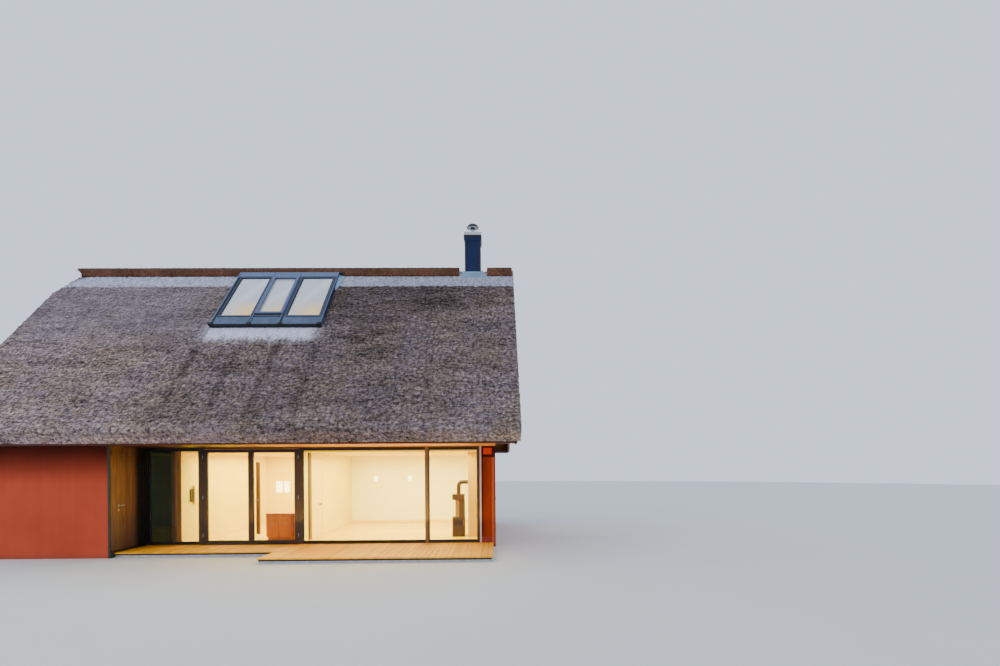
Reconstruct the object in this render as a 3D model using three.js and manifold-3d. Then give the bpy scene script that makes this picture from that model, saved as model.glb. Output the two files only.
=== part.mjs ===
// A thatched cottage with a recessed porch under the eave, modelled at full size.
// Millimetres, +Z up, +X along the ridge, the porch front faces -Y.
// The origin is on the ground, under the middle of the ridge.

import * as THREE from "three";
import { mergeVertices } from "three/addons/utils/BufferGeometryUtils.js";
import Module from "manifold-3d";

const wasm = await Module();
wasm.setup();

// Driving dimensions of the roof
const VERGE_X = 5885;
const EAVE_Y = 4500;
const EAVE_Z = 2631;
const PITCH = THREE.MathUtils.degToRad(46.5);
const THATCH = 330;
const BOARDS = 60;
const BOARDS_X = 5800;
const RIDGE_FLAT_Z = 7200;
const EAVE_ROUND = 70;

// Walls, floors and general clearances
const WALL_X = 5385;
const WALL_Y = 3400;
const WALL = 330;
const FLOOR_Z = 100;
const CEILING_Z = 2280;
const LOFT_FLOOR_Z = 2560;
const SOFFIT_Z = 2390;
const SOFFIT = 22;
const SOFFIT_LIP = 20;
const GAP = 0.3;
const RUN = 5;

// The porch, its glazing and its doors
const PORCH_X = -2810;
const SIDE_WALL = 130;
const CORNER_POST = 58;
const GLAZING_Y = -2100;
const FRAME_DEPTH = 80;
const SILL = 25;
const HEAD_Z = 2356;
const PANE = 24;
const PANE_SET = 30;
const LEAF_DEPTH = 60;
const POST_LEFT = [-1620, -1515];
const POST_RIGHT = [730, 832];
const MULLION = [3718, 3813];
const JAMB_RIGHT = [4950, 5054.7];
const JAMB_LEFT = [PORCH_X + GAP, -2770];
const MEETING_X = -395;
const LEAF_GLASS_Z = [195, 2267];
const HINGE_STILE = [102, 89];
const MEETING_STILE = 60;
const KNUCKLE = { radius: 8, out: 14, height: 40, reach: 35, plate: 12, bite: 2 };
const FRENCH_HINGE_Z = [320, 1210, 2165];
const SIDE_DOOR = { front: -3320, back: -2340, depth: 54, top: 2210 };
const SIDE_HINGE_Z = [350, 1150, 1950];
const SPLAY = 250;

// Decks
const DECK_FRONT_Y = -3290;
const STEP_X = [620, 5334];
const STEP_Y = -4250;

// Windows on the sides that the porch front hides
const WINDOW = { width: 1100, height: 1150, sill: 950, depth: 70, frame: 65, pane: 20 };
const BACK_WINDOW_X = [-3300, 0];
const LOFT_WINDOW = { width: 900, height: 1000, sill: 3350 };
const GABLE_WINDOW_Y = [0, 1500];
const LOFT_WINDOW_Y = [0, 1000];
const WINDOW_REVEAL = 90;

// Ridge, skylight and chimney
const CAP = { half: 345, side: 90, top: 7335 };
const CAP_LEFT_X = [-5570, 4440];
const CAP_RIGHT_X = [5200, 5865];
const CAP_LEAN = 260;
const DROOP = { along: 315, drop: 110, down: 900 };
const SKYLIGHT_X = [-1345, 1275];
const SKYLIGHT_S = [460, 2930];
const SKYLIGHT_PROUD = 100;
const SKYLIGHT_SIDE = [115, 115];
const SKYLIGHT_HEAD = 281;
const SKYLIGHT_FOOT = 375;
const SKYLIGHT_BARS = [[-485, -370], [235, 372]];
const SKYLIGHT_PANE = 24;
const SKYLIGHT_PANE_SET = 30;
const STACK = { x: 4815, half: 207, base: 7040, flare: 7985, lip: 8045, top: 8174, lipHalf: 230 };
const CROWN_TOP = 8256;
const COWL = { pipe: 55, rim: 165, rimZ: 8440, top: 8560 };

// Inside, as far as the glass shows it
const PARTITION = 100;
const PARTITION_X = 700;
const HALL_PARTITION_X = -2062;
const BREAST = { x: 4680, front: -950, back: 207 };
const COUNTER = { left: -345, front: -1380, depth: 560, top: 770 };
const STOVE = { left: 4270, right: 4585, front: -950, back: -550, top: 1190 };
const FLUE = { radius: 52, z: 1503, bend: 110 };

const TAN = Math.tan(PITCH);
const COS = Math.cos(PITCH);
const SIN = Math.sin(PITCH);
const APEX_Z = EAVE_Z + EAVE_Y * TAN;
const SOFFIT_TOP = SOFFIT_Z + SOFFIT;
const SOFFIT_OUTER = EAVE_Y - THATCH * SIN - 20;

const COLORS = {
  thatch: 0x77706c, heather: 0x5a4034, render: 0xa94f3c, timber: 0x6b4522, frame: 0x1f1a17,
  soffit: 0xb0733f, deck: 0xc08a52, plaster: 0xeadfc8, cladding: 0x1b2a4a, concrete: 0xb6b8b6,
  lead: 0x566a86, glass: 0xb9c4c8, steel: 0x9a9a98, stove: 0x5b3b1c, cabinet: 0xb87a35,
};

const house = new THREE.Group();

function addMesh(name, geometry, color, roughness = 0.8, metalness = 0) {
  const material = new THREE.MeshStandardMaterial({ color, roughness, metalness });
  const mesh = new THREE.Mesh(geometry, material);
  mesh.name = name;
  house.add(mesh);
  return mesh;
}

function box([x0, x1], [y0, y1], [z0, z1]) {
  const geometry = new THREE.BoxGeometry(x1 - x0, y1 - y0, z1 - z0);
  geometry.translate((x0 + x1) / 2, (y0 + y1) / 2, (z0 + z1) / 2);
  return geometry;
}

// A profile of [y, z] points, extruded along X from x0 to x1.
function alongX(points, [x0, x1]) {
  const shape = new THREE.Shape(points.map(([y, z]) => new THREE.Vector2(y, z)));
  const geometry = new THREE.ExtrudeGeometry(shape, { depth: x1 - x0, bevelEnabled: false });
  const basis = new THREE.Matrix4().makeBasis(
    new THREE.Vector3(0, 1, 0), new THREE.Vector3(0, 0, 1), new THREE.Vector3(1, 0, 0));
  geometry.applyMatrix4(basis);
  geometry.translate(x0, 0, 0);
  return geometry;
}

// A plan of [x, y] points, extruded upwards from z0 to z1.
function upwards(points, [z0, z1]) {
  const shape = new THREE.Shape(points.map(([x, y]) => new THREE.Vector2(x, y)));
  const geometry = new THREE.ExtrudeGeometry(shape, { depth: z1 - z0, bevelEnabled: false });
  geometry.translate(0, 0, z0);
  return geometry;
}

function toSolid(geometry) {
  const plain = geometry.clone();
  plain.deleteAttribute("normal");
  plain.deleteAttribute("uv");
  const merged = mergeVertices(plain);
  return new wasm.Manifold(new wasm.Mesh({
    numProp: 3,
    vertProperties: new Float32Array(merged.attributes.position.array),
    triVerts: new Uint32Array(merged.index.array),
  }));
}

function toGeometry(solid) {
  const mesh = solid.getMesh();
  const geometry = new THREE.BufferGeometry();
  geometry.setAttribute("position", new THREE.BufferAttribute(mesh.vertProperties, 3));
  geometry.setIndex(new THREE.BufferAttribute(mesh.triVerts, 1));
  geometry.computeVertexNormals();
  return geometry;
}

function cut(geometry, tools) {
  const solid = tools.reduce((left, tool) => left.subtract(toSolid(tool)), toSolid(geometry));
  return toGeometry(solid);
}

function join(geometries) {
  const [first, ...rest] = geometries.map(toSolid);
  return toGeometry(rest.reduce((sum, solid) => sum.add(solid), first));
}

// Height of a plane parallel to the roof, a distance under the thatch surface.
function roofZ(y, under = 0) {
  return APEX_Z - Math.abs(y) * TAN - under / COS;
}

// A point of the front slope from its distance down the slope and its height above the thatch.
function slopePoint(s, n) {
  return [-s * COS - n * SIN, APEX_Z - s * SIN + n * COS];
}

function mirrorY(points) {
  return points.map(([y, z]) => [-y, z]).reverse();
}

// Openings through the roof
function stackHole() {
  const reach = STACK.half + GAP;
  return box([STACK.x - reach, STACK.x + reach], [-reach, reach], [5000, 9000]);
}

function skylightHole() {
  const [s0, s1] = SKYLIGHT_S;
  const points = [[s0 - GAP, -700], [s1 + GAP, -700], [s1 + GAP, 300], [s0 - GAP, 300]];
  return alongX(points.map(([s, n]) => slopePoint(s, n)), [SKYLIGHT_X[0] - GAP, SKYLIGHT_X[1] + GAP]);
}

// Thatch, with a rounded lower edge and a flattened top under the ridge cap
function thatchProfile() {
  const eaveS = EAVE_Y / COS;
  const points = [];
  for (let i = 0; i <= 4; i += 1) {
    const angle = (i / 4) * Math.PI / 2;
    const s = eaveS - EAVE_ROUND + EAVE_ROUND * Math.sin(angle);
    const n = -EAVE_ROUND + EAVE_ROUND * Math.cos(angle);
    points.push(slopePoint(s, n));
  }
  points.push(slopePoint(eaveS, -THATCH));
  points.push([-GAP / 2, roofZ(GAP / 2, THATCH)]);
  points.push([-GAP / 2, RIDGE_FLAT_Z]);
  points.push([-(APEX_Z - RIDGE_FLAT_Z) / TAN, RIDGE_FLAT_Z]);
  return points;
}

// The thatch sinks towards the ridge at the left gable. The cutter's underside is the sloping plane
// that is left there, and its top is well above the roof.
function droopCutter(side) {
  const { along, drop, down } = DROOP;
  const crest = RIDGE_FLAT_Z - drop;
  const fall = (crest - roofZ(down)) / down;
  const plane = (x, y) => crest + ((x + VERGE_X) * drop) / along - y * fall;
  const cutter = box([-VERGE_X - 100, -VERGE_X + 3 * along], side > 0 ? [-10, 1500] : [-1500, 10], [0, 9000]);
  const position = cutter.attributes.position;
  for (let i = 0; i < position.count; i += 1) {
    if (position.getZ(i) < 1) {
      position.setZ(i, plane(position.getX(i), position.getY(i) * side));
    }
  }
  return cutter;
}

function buildThatch() {
  const profile = thatchProfile();
  const front = alongX(profile, [-VERGE_X, VERGE_X]);
  const back = alongX(mirrorY(profile), [-VERGE_X, VERGE_X]);
  addMesh("thatch_front", cut(front, [skylightHole(), stackHole(), droopCutter(-1)]), COLORS.thatch, 1);
  addMesh("thatch_back", cut(back, [stackHole(), droopCutter(1)]), COLORS.thatch, 1);
}

// The boards run down the slope until they sit on the soffit.
function boardsFoot() {
  return (APEX_Z - (THATCH + BOARDS) * COS - SOFFIT_TOP - GAP) / SIN;
}

function buildRoofBoards() {
  const top = THATCH + GAP;
  const bottom = THATCH + BOARDS;
  const foot = boardsFoot();
  const [outerY, outerZ] = slopePoint(foot, -top);
  const [innerY, innerZ] = slopePoint(foot, -bottom);
  const profile = [
    [outerY, outerZ], [innerY, innerZ], [-GAP / 2, roofZ(GAP / 2, bottom)], [-GAP / 2, roofZ(GAP / 2, top)],
  ];
  const front = alongX(profile, [-BOARDS_X, BOARDS_X]);
  const back = alongX(mirrorY(profile), [-BOARDS_X, BOARDS_X]);
  addMesh("roof_boards_front", cut(front, [skylightHole(), stackHole()]), COLORS.timber);
  addMesh("roof_boards_back", cut(back, [stackHole()]), COLORS.timber);
}

// At their feet the barge boards widen into cheeks that close the ends of the eaves.
function buildBargeBoards() {
  const depth = 30;
  const width = 190;
  const top = THATCH + GAP;
  const cheek = [
    [-SOFFIT_OUTER, roofZ(SOFFIT_OUTER, top)],
    [-SOFFIT_OUTER, SOFFIT_Z - SOFFIT_LIP],
    [-WALL_Y, SOFFIT_Z - SOFFIT_LIP],
    [-WALL_Y, roofZ(WALL_Y, top + width)],
  ];
  const profile = [
    ...cheek, [0, roofZ(0, top + width)], ...mirrorY(cheek), [0, roofZ(0, top)],
  ];
  addMesh("barge_boards_left", alongX(profile, [-BOARDS_X - GAP - depth, -BOARDS_X - GAP]), COLORS.timber);
  addMesh("barge_boards_right", alongX(profile, [BOARDS_X + GAP, BOARDS_X + GAP + depth]), COLORS.timber);
}

// The ridge cap is a roll of heather that rides over the flattened top of the thatch.
function capProfile() {
  const { half, side, top } = CAP;
  const flat = (APEX_Z - RIDGE_FLAT_Z) / TAN;
  const foot = roofZ(half) + GAP / COS;
  const shoulder = foot + side;
  const points = [[-half, foot]];
  const steps = 8;
  for (let i = 0; i <= steps; i += 1) {
    const angle = (i / steps) * Math.PI;
    points.push([-half * Math.cos(angle), shoulder + (top - shoulder) * Math.sin(angle)]);
  }
  points.push([half, foot], [flat, RIDGE_FLAT_Z + GAP], [-flat, RIDGE_FLAT_Z + GAP]);
  return points.reverse();
}

function buildRidgeCap() {
  const [x0, x1] = CAP_LEFT_X;
  const long = alongX(capProfile(), [x0, x1]);
  const shoulder = roofZ(CAP.half) + CAP.side;
  const position = long.attributes.position;
  for (let i = 0; i < position.count; i += 1) {
    if (position.getX(i) < x0 + 1) {
      const rise = (position.getZ(i) - shoulder) / (CAP.top - shoulder);
      position.setX(i, x0 - CAP_LEAN * THREE.MathUtils.clamp(rise, 0, 1));
    }
  }
  addMesh("ridge_cap_left", cut(long, [skylightHole()]), COLORS.heather, 1);
  addMesh("ridge_cap_right", alongX(capProfile(), CAP_RIGHT_X), COLORS.heather, 1);
}

function buildEaves() {
  const outer = -SOFFIT_OUTER;
  const thatchFoot = slopePoint(EAVE_Y / COS, -THATCH)[1];
  const profile = [
    [outer, SOFFIT_Z - SOFFIT_LIP], [outer + SOFFIT, SOFFIT_Z - SOFFIT_LIP], [outer + SOFFIT, SOFFIT_Z],
    [-WALL_Y - GAP, SOFFIT_Z], [-WALL_Y - GAP, SOFFIT_TOP],
    [outer, Math.min(SOFFIT_TOP, thatchFoot + 5)],
  ];
  const span = [-BOARDS_X, BOARDS_X];
  addMesh("eave_soffit_front", alongX(profile, span), COLORS.soffit);
  addMesh("eave_soffit_back", alongX(mirrorY(profile), span), COLORS.soffit);
  addMesh("porch_ceiling", box([PORCH_X + GAP, WALL_X], [-WALL_Y, GLAZING_Y - GAP],
    [SOFFIT_Z, SOFFIT_TOP]), COLORS.soffit);
}

// Windows
function windowUnit(name, [u0, u1], [z0, z1], place) {
  const { depth, frame, pane } = WINDOW;
  const outer = place([u0, u1], [0, depth], [z0, z1]);
  const hollow = [[-10, (depth - pane) / 2], [(depth + pane) / 2, depth + 10]].map((range) =>
    place([u0 + frame, u1 - frame], range, [z0 + frame, z1 - frame]));
  addMesh(name, cut(outer, hollow), COLORS.glass, 0.2);
}

function backWindow(index) {
  const x = BACK_WINDOW_X[index];
  const { width, height, sill } = WINDOW;
  const face = WALL_Y - WINDOW_REVEAL;
  windowUnit(`window_back_${index + 1}`,
    [x - width / 2 + GAP, x + width / 2 - GAP], [sill + GAP, sill + height - GAP],
    (u, [d0, d1], z) => box(u, [face - d1, face - d0], z));
}

function gableWindow(name, side, y, { width, height, sill }) {
  const face = WALL_X - WINDOW_REVEAL;
  windowUnit(name, [y - width / 2 + GAP, y + width / 2 - GAP], [sill + GAP, sill + height - GAP],
    (u, [d0, d1], z) => box([side * (face - d0), side * (face - d1)].sort((a, b) => a - b), u, z));
}

function gableHole(side, y, { width, height, sill }) {
  const x = [side * (WALL_X + 50), side * (WALL_X - WALL - 50)].sort((a, b) => a - b);
  return box(x, [y - width / 2, y + width / 2], [sill, sill + height]);
}

// Walls
function buildFrontWall() {
  const under = THATCH + BOARDS + GAP;
  const inner = -WALL_Y + WALL;
  const top = [[inner, roofZ(inner, under)], [-WALL_Y, roofZ(WALL_Y, under)]];
  const wall = [[-WALL_Y, 0], [inner, 0], ...top];
  const end = PORCH_X - CORNER_POST;
  const { front } = SIDE_DOOR;
  const doorEnd = PORCH_X - SIDE_WALL;
  const splay = upwards([
    [doorEnd, front], [end + 50, front], [end + 50, inner + 50], [doorEnd - SPLAY - 50, inner + 50],
  ], [-50, SOFFIT_TOP + GAP]);
  addMesh("front_wall_left", cut(alongX(wall, [-WALL_X, end - GAP]), [splay]), COLORS.render, 0.9);
  const beam = [[-WALL_Y, SOFFIT_TOP + GAP], [inner, SOFFIT_TOP + GAP], ...top];
  addMesh("porch_beam", alongX(beam, [end, WALL_X - WALL - GAP]), COLORS.timber);
}

function buildBackWall() {
  const under = THATCH + BOARDS + GAP;
  const inner = WALL_Y - WALL;
  const wall = [[WALL_Y, 0], [WALL_Y, roofZ(WALL_Y, under)], [inner, roofZ(inner, under)], [inner, 0]];
  const holes = BACK_WINDOW_X.map((x) =>
    box([x - WINDOW.width / 2, x + WINDOW.width / 2], [inner - 50, WALL_Y + 50],
      [WINDOW.sill, WINDOW.sill + WINDOW.height]));
  addMesh("back_wall", cut(alongX(wall, [-WALL_X, WALL_X]), holes), COLORS.render, 0.9);
  BACK_WINDOW_X.forEach((x, index) => backWindow(index));
}

function buildGables() {
  const under = THATCH + BOARDS + GAP;
  const inner = WALL_Y - WALL - GAP;
  const peak = roofZ(0, under);
  const left = [
    [-inner, 0], [inner, 0], [inner, roofZ(inner, under)], [0, peak], [-inner, roofZ(inner, under)],
  ];
  const overPorch = SOFFIT_TOP + GAP;
  const right = [
    [GLAZING_Y, 0], [inner, 0], [inner, roofZ(inner, under)], [0, peak],
    [-WALL_Y, roofZ(WALL_Y, under)], [-WALL_Y, overPorch], [GLAZING_Y, overPorch],
  ];
  const leftHoles = [gableHole(-1, GABLE_WINDOW_Y[0], WINDOW), gableHole(-1, LOFT_WINDOW_Y[0], LOFT_WINDOW)];
  const rightHoles = [gableHole(1, GABLE_WINDOW_Y[1], WINDOW), gableHole(1, LOFT_WINDOW_Y[1], LOFT_WINDOW)];
  addMesh("gable_wall_left", cut(alongX(left, [-WALL_X, -WALL_X + WALL]), leftHoles), COLORS.render, 0.9);
  addMesh("gable_wall_right", cut(alongX(right, [WALL_X - WALL, WALL_X]), rightHoles), COLORS.render, 0.9);
  gableWindow("window_left_ground", -1, GABLE_WINDOW_Y[0], WINDOW);
  gableWindow("window_left_loft", -1, LOFT_WINDOW_Y[0], LOFT_WINDOW);
  gableWindow("window_right_ground", 1, GABLE_WINDOW_Y[1], WINDOW);
  gableWindow("window_right_loft", 1, LOFT_WINDOW_Y[1], LOFT_WINDOW);
}

// Floors and decks
function buildFloors() {
  const x = WALL_X - WALL - GAP;
  const y = WALL_Y - WALL - GAP;
  const front = GLAZING_Y;
  const doorway = [PORCH_X - SIDE_WALL, SIDE_DOOR.front + GAP];
  const plan = [
    [-x, -y], [doorway[0] - SPLAY, -y], doorway, [PORCH_X, doorway[1]], [PORCH_X, front], [x, front],
    [x, y], [-x, y],
  ];
  addMesh("ground_floor", upwards(plan, [0, FLOOR_Z]), COLORS.cabinet);
  const step = GLAZING_Y + FRAME_DEPTH + GAP;
  const underside = SOFFIT_TOP + GAP;
  const profile = [
    [-y, underside], [step, underside], [step, CEILING_Z], [y, CEILING_Z], [y, LOFT_FLOOR_Z], [-y, LOFT_FLOOR_Z],
  ];
  addMesh("upper_floor", alongX(profile, [-x, x]), COLORS.plaster);
  const deckPlan = [
    [PORCH_X + GAP, GLAZING_Y - GAP], [PORCH_X + GAP, DECK_FRONT_Y], [STEP_X[0], DECK_FRONT_Y],
    [STEP_X[0], STEP_Y], [STEP_X[1], STEP_Y], [STEP_X[1], GLAZING_Y - GAP],
  ];
  addMesh("deck", upwards(deckPlan, [0, FLOOR_Z]), COLORS.deck);
}

// A hinge knuckle is a short barrel on the pin line, with a plate back to what carries it.
function knuckle([x, y], [z0, z1], plateX, plateY) {
  const barrel = new THREE.CylinderGeometry(KNUCKLE.radius, KNUCKLE.radius, z1 - z0, 12);
  barrel.rotateX(Math.PI / 2);
  barrel.translate(x, y, (z0 + z1) / 2);
  return [barrel, box(plateX, plateY, [z0, z1])];
}

function knuckleRows(heights) {
  const { height } = KNUCKLE;
  return heights.map((z) => ({ carrier: [z - height, z], leaf: [z + GAP, z + GAP + height] }));
}

// The boarded wall beside the porch, with its door
function buildSideWall() {
  const { front, back, depth, top } = SIDE_DOOR;
  const wallX = [PORCH_X - SIDE_WALL + GAP, PORCH_X];
  const wallZ = [FLOOR_Z + GAP, SOFFIT_TOP];
  const hinge = [PORCH_X + KNUCKLE.out, back];
  const plateX = [PORCH_X - KNUCKLE.bite, PORCH_X - KNUCKLE.bite + KNUCKLE.plate];
  const rows = knuckleRows(SIDE_HINGE_Z);
  const postX = [PORCH_X - CORNER_POST, PORCH_X];
  addMesh("corner_post", box(postX, [-WALL_Y - 30, front], [0, SOFFIT_Z - GAP]), COLORS.steel);
  const jamb = [box(wallX, [back, GLAZING_Y - GAP], wallZ)];
  for (const row of rows) {
    jamb.push(...knuckle(hinge, row.carrier, plateX, [back, back + KNUCKLE.reach]));
  }
  addMesh("side_wall_back", join(jamb), COLORS.timber);
  addMesh("side_wall_over_door", box(wallX, [front + GAP, back - GAP], [top, SOFFIT_TOP]), COLORS.timber);
  const leaf = [box([PORCH_X - depth, PORCH_X], [front + RUN, back - RUN], [FLOOR_Z + 8, top - RUN])];
  for (const row of rows) {
    leaf.push(...knuckle(hinge, row.leaf, plateX, [back - KNUCKLE.reach, back]));
  }
  addMesh("side_door", join(leaf), COLORS.timber);
  buildDoorHandle();
}

function buildDoorHandle() {
  const x = PORCH_X + GAP;
  const y = -3146;
  const z = 1110;
  const rose = new THREE.CylinderGeometry(26, 26, 8, 20).rotateZ(Math.PI / 2).translate(x + 4, y, z);
  const neck = new THREE.CylinderGeometry(9, 9, 52, 12).rotateZ(Math.PI / 2).translate(x + 30, y, z);
  const lever = new THREE.CylinderGeometry(9, 9, 135, 12).translate(x + 54, y + 60, z);
  addMesh("side_door_handle", join([rose, neck, lever]), COLORS.steel, 0.3, 0.9);
}

// The glazed front of the porch
function post(name, x, [z0, z1], hingeSide) {
  const y = [GLAZING_Y, GLAZING_Y + FRAME_DEPTH];
  const pieces = [box(x, y, [z0, z1])];
  if (hingeSide) {
    const pinX = hingeSide > 0 ? x[1] + RUN / 2 : x[0] - RUN / 2;
    const plateX = hingeSide > 0 ? [pinX - KNUCKLE.reach, pinX] : [pinX, pinX + KNUCKLE.reach];
    const plateY = [GLAZING_Y + KNUCKLE.bite - KNUCKLE.plate, GLAZING_Y + KNUCKLE.bite];
    for (const row of knuckleRows(FRENCH_HINGE_Z)) {
      pieces.push(...knuckle([pinX, GLAZING_Y - KNUCKLE.out], row.carrier, plateX, plateY));
    }
  }
  addMesh(name, join(pieces), COLORS.frame, 0.5);
}

function frenchLeaf(name, [x0, x1], hingeSide) {
  const stiles = hingeSide < 0 ? [HINGE_STILE[0], MEETING_STILE] : [MEETING_STILE, HINGE_STILE[1]];
  const glassX = [x0 + stiles[0], x1 - stiles[1]];
  const y = [GLAZING_Y, GLAZING_Y + LEAF_DEPTH];
  const z = [FLOOR_Z + SILL + RUN, HEAD_Z - RUN];
  const frame = cut(box([x0, x1], y, z), [box(glassX, [y[0] - 10, y[1] + 10], LEAF_GLASS_Z)]);
  const pinX = hingeSide < 0 ? x0 - RUN / 2 : x1 + RUN / 2;
  const plateX = hingeSide < 0 ? [pinX, pinX + KNUCKLE.reach] : [pinX - KNUCKLE.reach, pinX];
  const plateY = [GLAZING_Y + KNUCKLE.bite - KNUCKLE.plate, GLAZING_Y + KNUCKLE.bite];
  const pieces = [frame];
  for (const row of knuckleRows(FRENCH_HINGE_Z)) {
    pieces.push(...knuckle([pinX, GLAZING_Y - KNUCKLE.out], row.leaf, plateX, plateY));
  }
  addMesh(`french_door_${name}`, join(pieces), COLORS.frame, 0.5);
  const pane = box([glassX[0] + GAP, glassX[1] - GAP], [GLAZING_Y + PANE_SET, GLAZING_Y + PANE_SET + PANE],
    [LEAF_GLASS_Z[0] + GAP, LEAF_GLASS_Z[1] - GAP]);
  addMesh(`french_glass_${name}`, pane, COLORS.glass, 0.1);
}

function buildGlazing() {
  const y = [GLAZING_Y, GLAZING_Y + FRAME_DEPTH];
  const wide = [PORCH_X + GAP, WALL_X - WALL - GAP];
  const clear = [FLOOR_Z + SILL + GAP, HEAD_Z - GAP];
  addMesh("glazing_sill", box(wide, y, [FLOOR_Z + GAP, FLOOR_Z + SILL]), COLORS.frame, 0.5);
  addMesh("glazing_head", box(wide, y, [HEAD_Z, SOFFIT_TOP]), COLORS.frame, 0.5);
  post("glazing_jamb_left", JAMB_LEFT, clear, 0);
  post("glazing_post_left", POST_LEFT, clear, 1);
  post("glazing_post_right", POST_RIGHT, clear, -1);
  post("glazing_mullion", MULLION, clear, 0);
  post("glazing_jamb_right", JAMB_RIGHT, clear, 0);
  const paneY = [GLAZING_Y + PANE_SET, GLAZING_Y + PANE_SET + PANE];
  const between = (left, right) => [left[1] + GAP, right[0] - GAP];
  addMesh("pane_hall", box(between(JAMB_LEFT, POST_LEFT), paneY, clear), COLORS.glass, 0.1);
  addMesh("pane_large", box(between(POST_RIGHT, MULLION), paneY, clear), COLORS.glass, 0.1);
  addMesh("pane_end", box(between(MULLION, JAMB_RIGHT), paneY, clear), COLORS.glass, 0.1);
  frenchLeaf("left", [POST_LEFT[1] + RUN, MEETING_X - RUN / 2], -1);
  frenchLeaf("right", [MEETING_X + RUN / 2, POST_RIGHT[0] - RUN], 1);
}

// The roof light, a deep frame through the thatch with three panes
function buildSkylight() {
  const [s0, s1] = SKYLIGHT_S;
  const [x0, x1] = SKYLIGHT_X;
  const depth = -(THATCH + BOARDS);
  const slab = (sRange, nRange, xRange) => alongX([
    slopePoint(sRange[0], nRange[0]), slopePoint(sRange[1], nRange[0]),
    slopePoint(sRange[1], nRange[1]), slopePoint(sRange[0], nRange[1]),
  ], xRange);
  const holeS = [s0 + SKYLIGHT_HEAD, s1 - SKYLIGHT_FOOT];
  const edges = [x0 + SKYLIGHT_SIDE[0], ...SKYLIGHT_BARS.flat(), x1 - SKYLIGHT_SIDE[1]];
  const lower = slab([s0 + 60, s1 - 60], [depth - 50, 20], [x0 + 60, x1 - 60]);
  const holes = [];
  const names = ["left", "middle", "right"];
  const paneN = [SKYLIGHT_PROUD - SKYLIGHT_PANE_SET - SKYLIGHT_PANE, SKYLIGHT_PROUD - SKYLIGHT_PANE_SET];
  names.forEach((name, index) => {
    const span = [edges[index * 2], edges[index * 2 + 1]];
    holes.push(slab(holeS, [0, SKYLIGHT_PROUD + 50], span));
    const pane = slab([holeS[0] + GAP, holeS[1] - GAP], paneN, [span[0] + GAP, span[1] - GAP]);
    addMesh(`skylight_pane_${name}`, pane, COLORS.glass, 0.1);
  });
  const body = slab([s0, s1], [depth, SKYLIGHT_PROUD], [x0, x1]);
  addMesh("skylight_frame", cut(body, [lower, ...holes]), COLORS.lead, 0.5, 0.4);
}

// The chimney, from the loft to its cowl
function squareTurn(profile) {
  const points = profile.map(([half, z]) => new THREE.Vector2(half * Math.SQRT2, z));
  const geometry = new THREE.LatheGeometry(points, 4);
  geometry.rotateX(Math.PI / 2);
  geometry.rotateZ(Math.PI / 4);
  return geometry;
}

function buildChimney() {
  const { x, half, base, flare, lip, top, lipHalf } = STACK;
  const reach = [x - half, x + half];
  addMesh("chimney_shaft", box(reach, [-half, half], [LOFT_FLOOR_Z + GAP, base - GAP]), COLORS.plaster);
  const profile = [[0, base], [half, base], [half, flare], [lipHalf, lip], [lipHalf, top], [0, top]];
  addMesh("chimney_stack", squareTurn(profile).translate(x, 0, 0), COLORS.cladding, 0.4, 0.6);
  addMesh("chimney_crown", box([x - lipHalf, x + lipHalf], [-lipHalf, lipHalf], [top + GAP, CROWN_TOP]),
    COLORS.concrete, 0.9);
  const { pipe, rim, rimZ, top: cowlTop } = COWL;
  const cowl = [
    [0, CROWN_TOP + GAP], [pipe, CROWN_TOP + GAP], [pipe, rimZ + 20], [rim - 18, rimZ - 12],
    [rim, rimZ], [rim * 0.85, rimZ + 50], [rim * 0.5, cowlTop - 22], [0, cowlTop],
  ];
  const geometry = new THREE.LatheGeometry(cowl.map(([r, z]) => new THREE.Vector2(r, z)), 24);
  geometry.rotateX(Math.PI / 2);
  addMesh("chimney_cowl", geometry.translate(x, 0, 0), COLORS.frame, 0.5, 0.6);
}

// Partitions, the stove and the counter that show through the glass
function buildInside() {
  const y = [GLAZING_Y + FRAME_DEPTH + GAP, WALL_Y - WALL - GAP];
  const z = [FLOOR_Z + GAP, CEILING_Z - GAP];
  addMesh("partition_living", box([PARTITION_X - PARTITION, PARTITION_X], y, z), COLORS.plaster);
  addMesh("partition_hall", box([HALL_PARTITION_X - PARTITION, HALL_PARTITION_X], y, z), COLORS.plaster);
  addMesh("chimney_breast", box([BREAST.x, WALL_X - WALL - GAP], [BREAST.front, BREAST.back], z), COLORS.plaster);
  const counterX = [COUNTER.left, PARTITION_X - PARTITION - GAP];
  addMesh("kitchen_counter", box(counterX, [COUNTER.front, COUNTER.front + COUNTER.depth],
    [FLOOR_Z + GAP, COUNTER.top]), COLORS.cabinet);
  addMesh("stove", box([STOVE.left, STOVE.right], [STOVE.front, STOVE.back], [FLOOR_Z + GAP, STOVE.top]),
    COLORS.stove, 0.6);
  buildFlue();
}

function buildFlue() {
  const x = (STOVE.left + STOVE.right) / 2;
  const y = (STOVE.front + STOVE.back) / 2;
  const path = new THREE.CurvePath();
  const low = new THREE.Vector3(x, y, STOVE.top + GAP);
  const bendStart = new THREE.Vector3(x, y, FLUE.z - FLUE.bend);
  const corner = new THREE.Vector3(x, y, FLUE.z);
  const bendEnd = new THREE.Vector3(x + FLUE.bend, y, FLUE.z);
  const end = new THREE.Vector3(BREAST.x - GAP, y, FLUE.z);
  path.add(new THREE.LineCurve3(low, bendStart));
  path.add(new THREE.QuadraticBezierCurve3(bendStart, corner, bendEnd));
  path.add(new THREE.LineCurve3(bendEnd, end));
  const section = new THREE.Shape();
  section.absarc(0, 0, FLUE.radius, 0, Math.PI * 2);
  const geometry = new THREE.ExtrudeGeometry(section, {
    steps: 18, bevelEnabled: false, extrudePath: path, curveSegments: 6,
  });
  addMesh("stove_flue", geometry, COLORS.frame, 0.5, 0.5);
}

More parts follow.
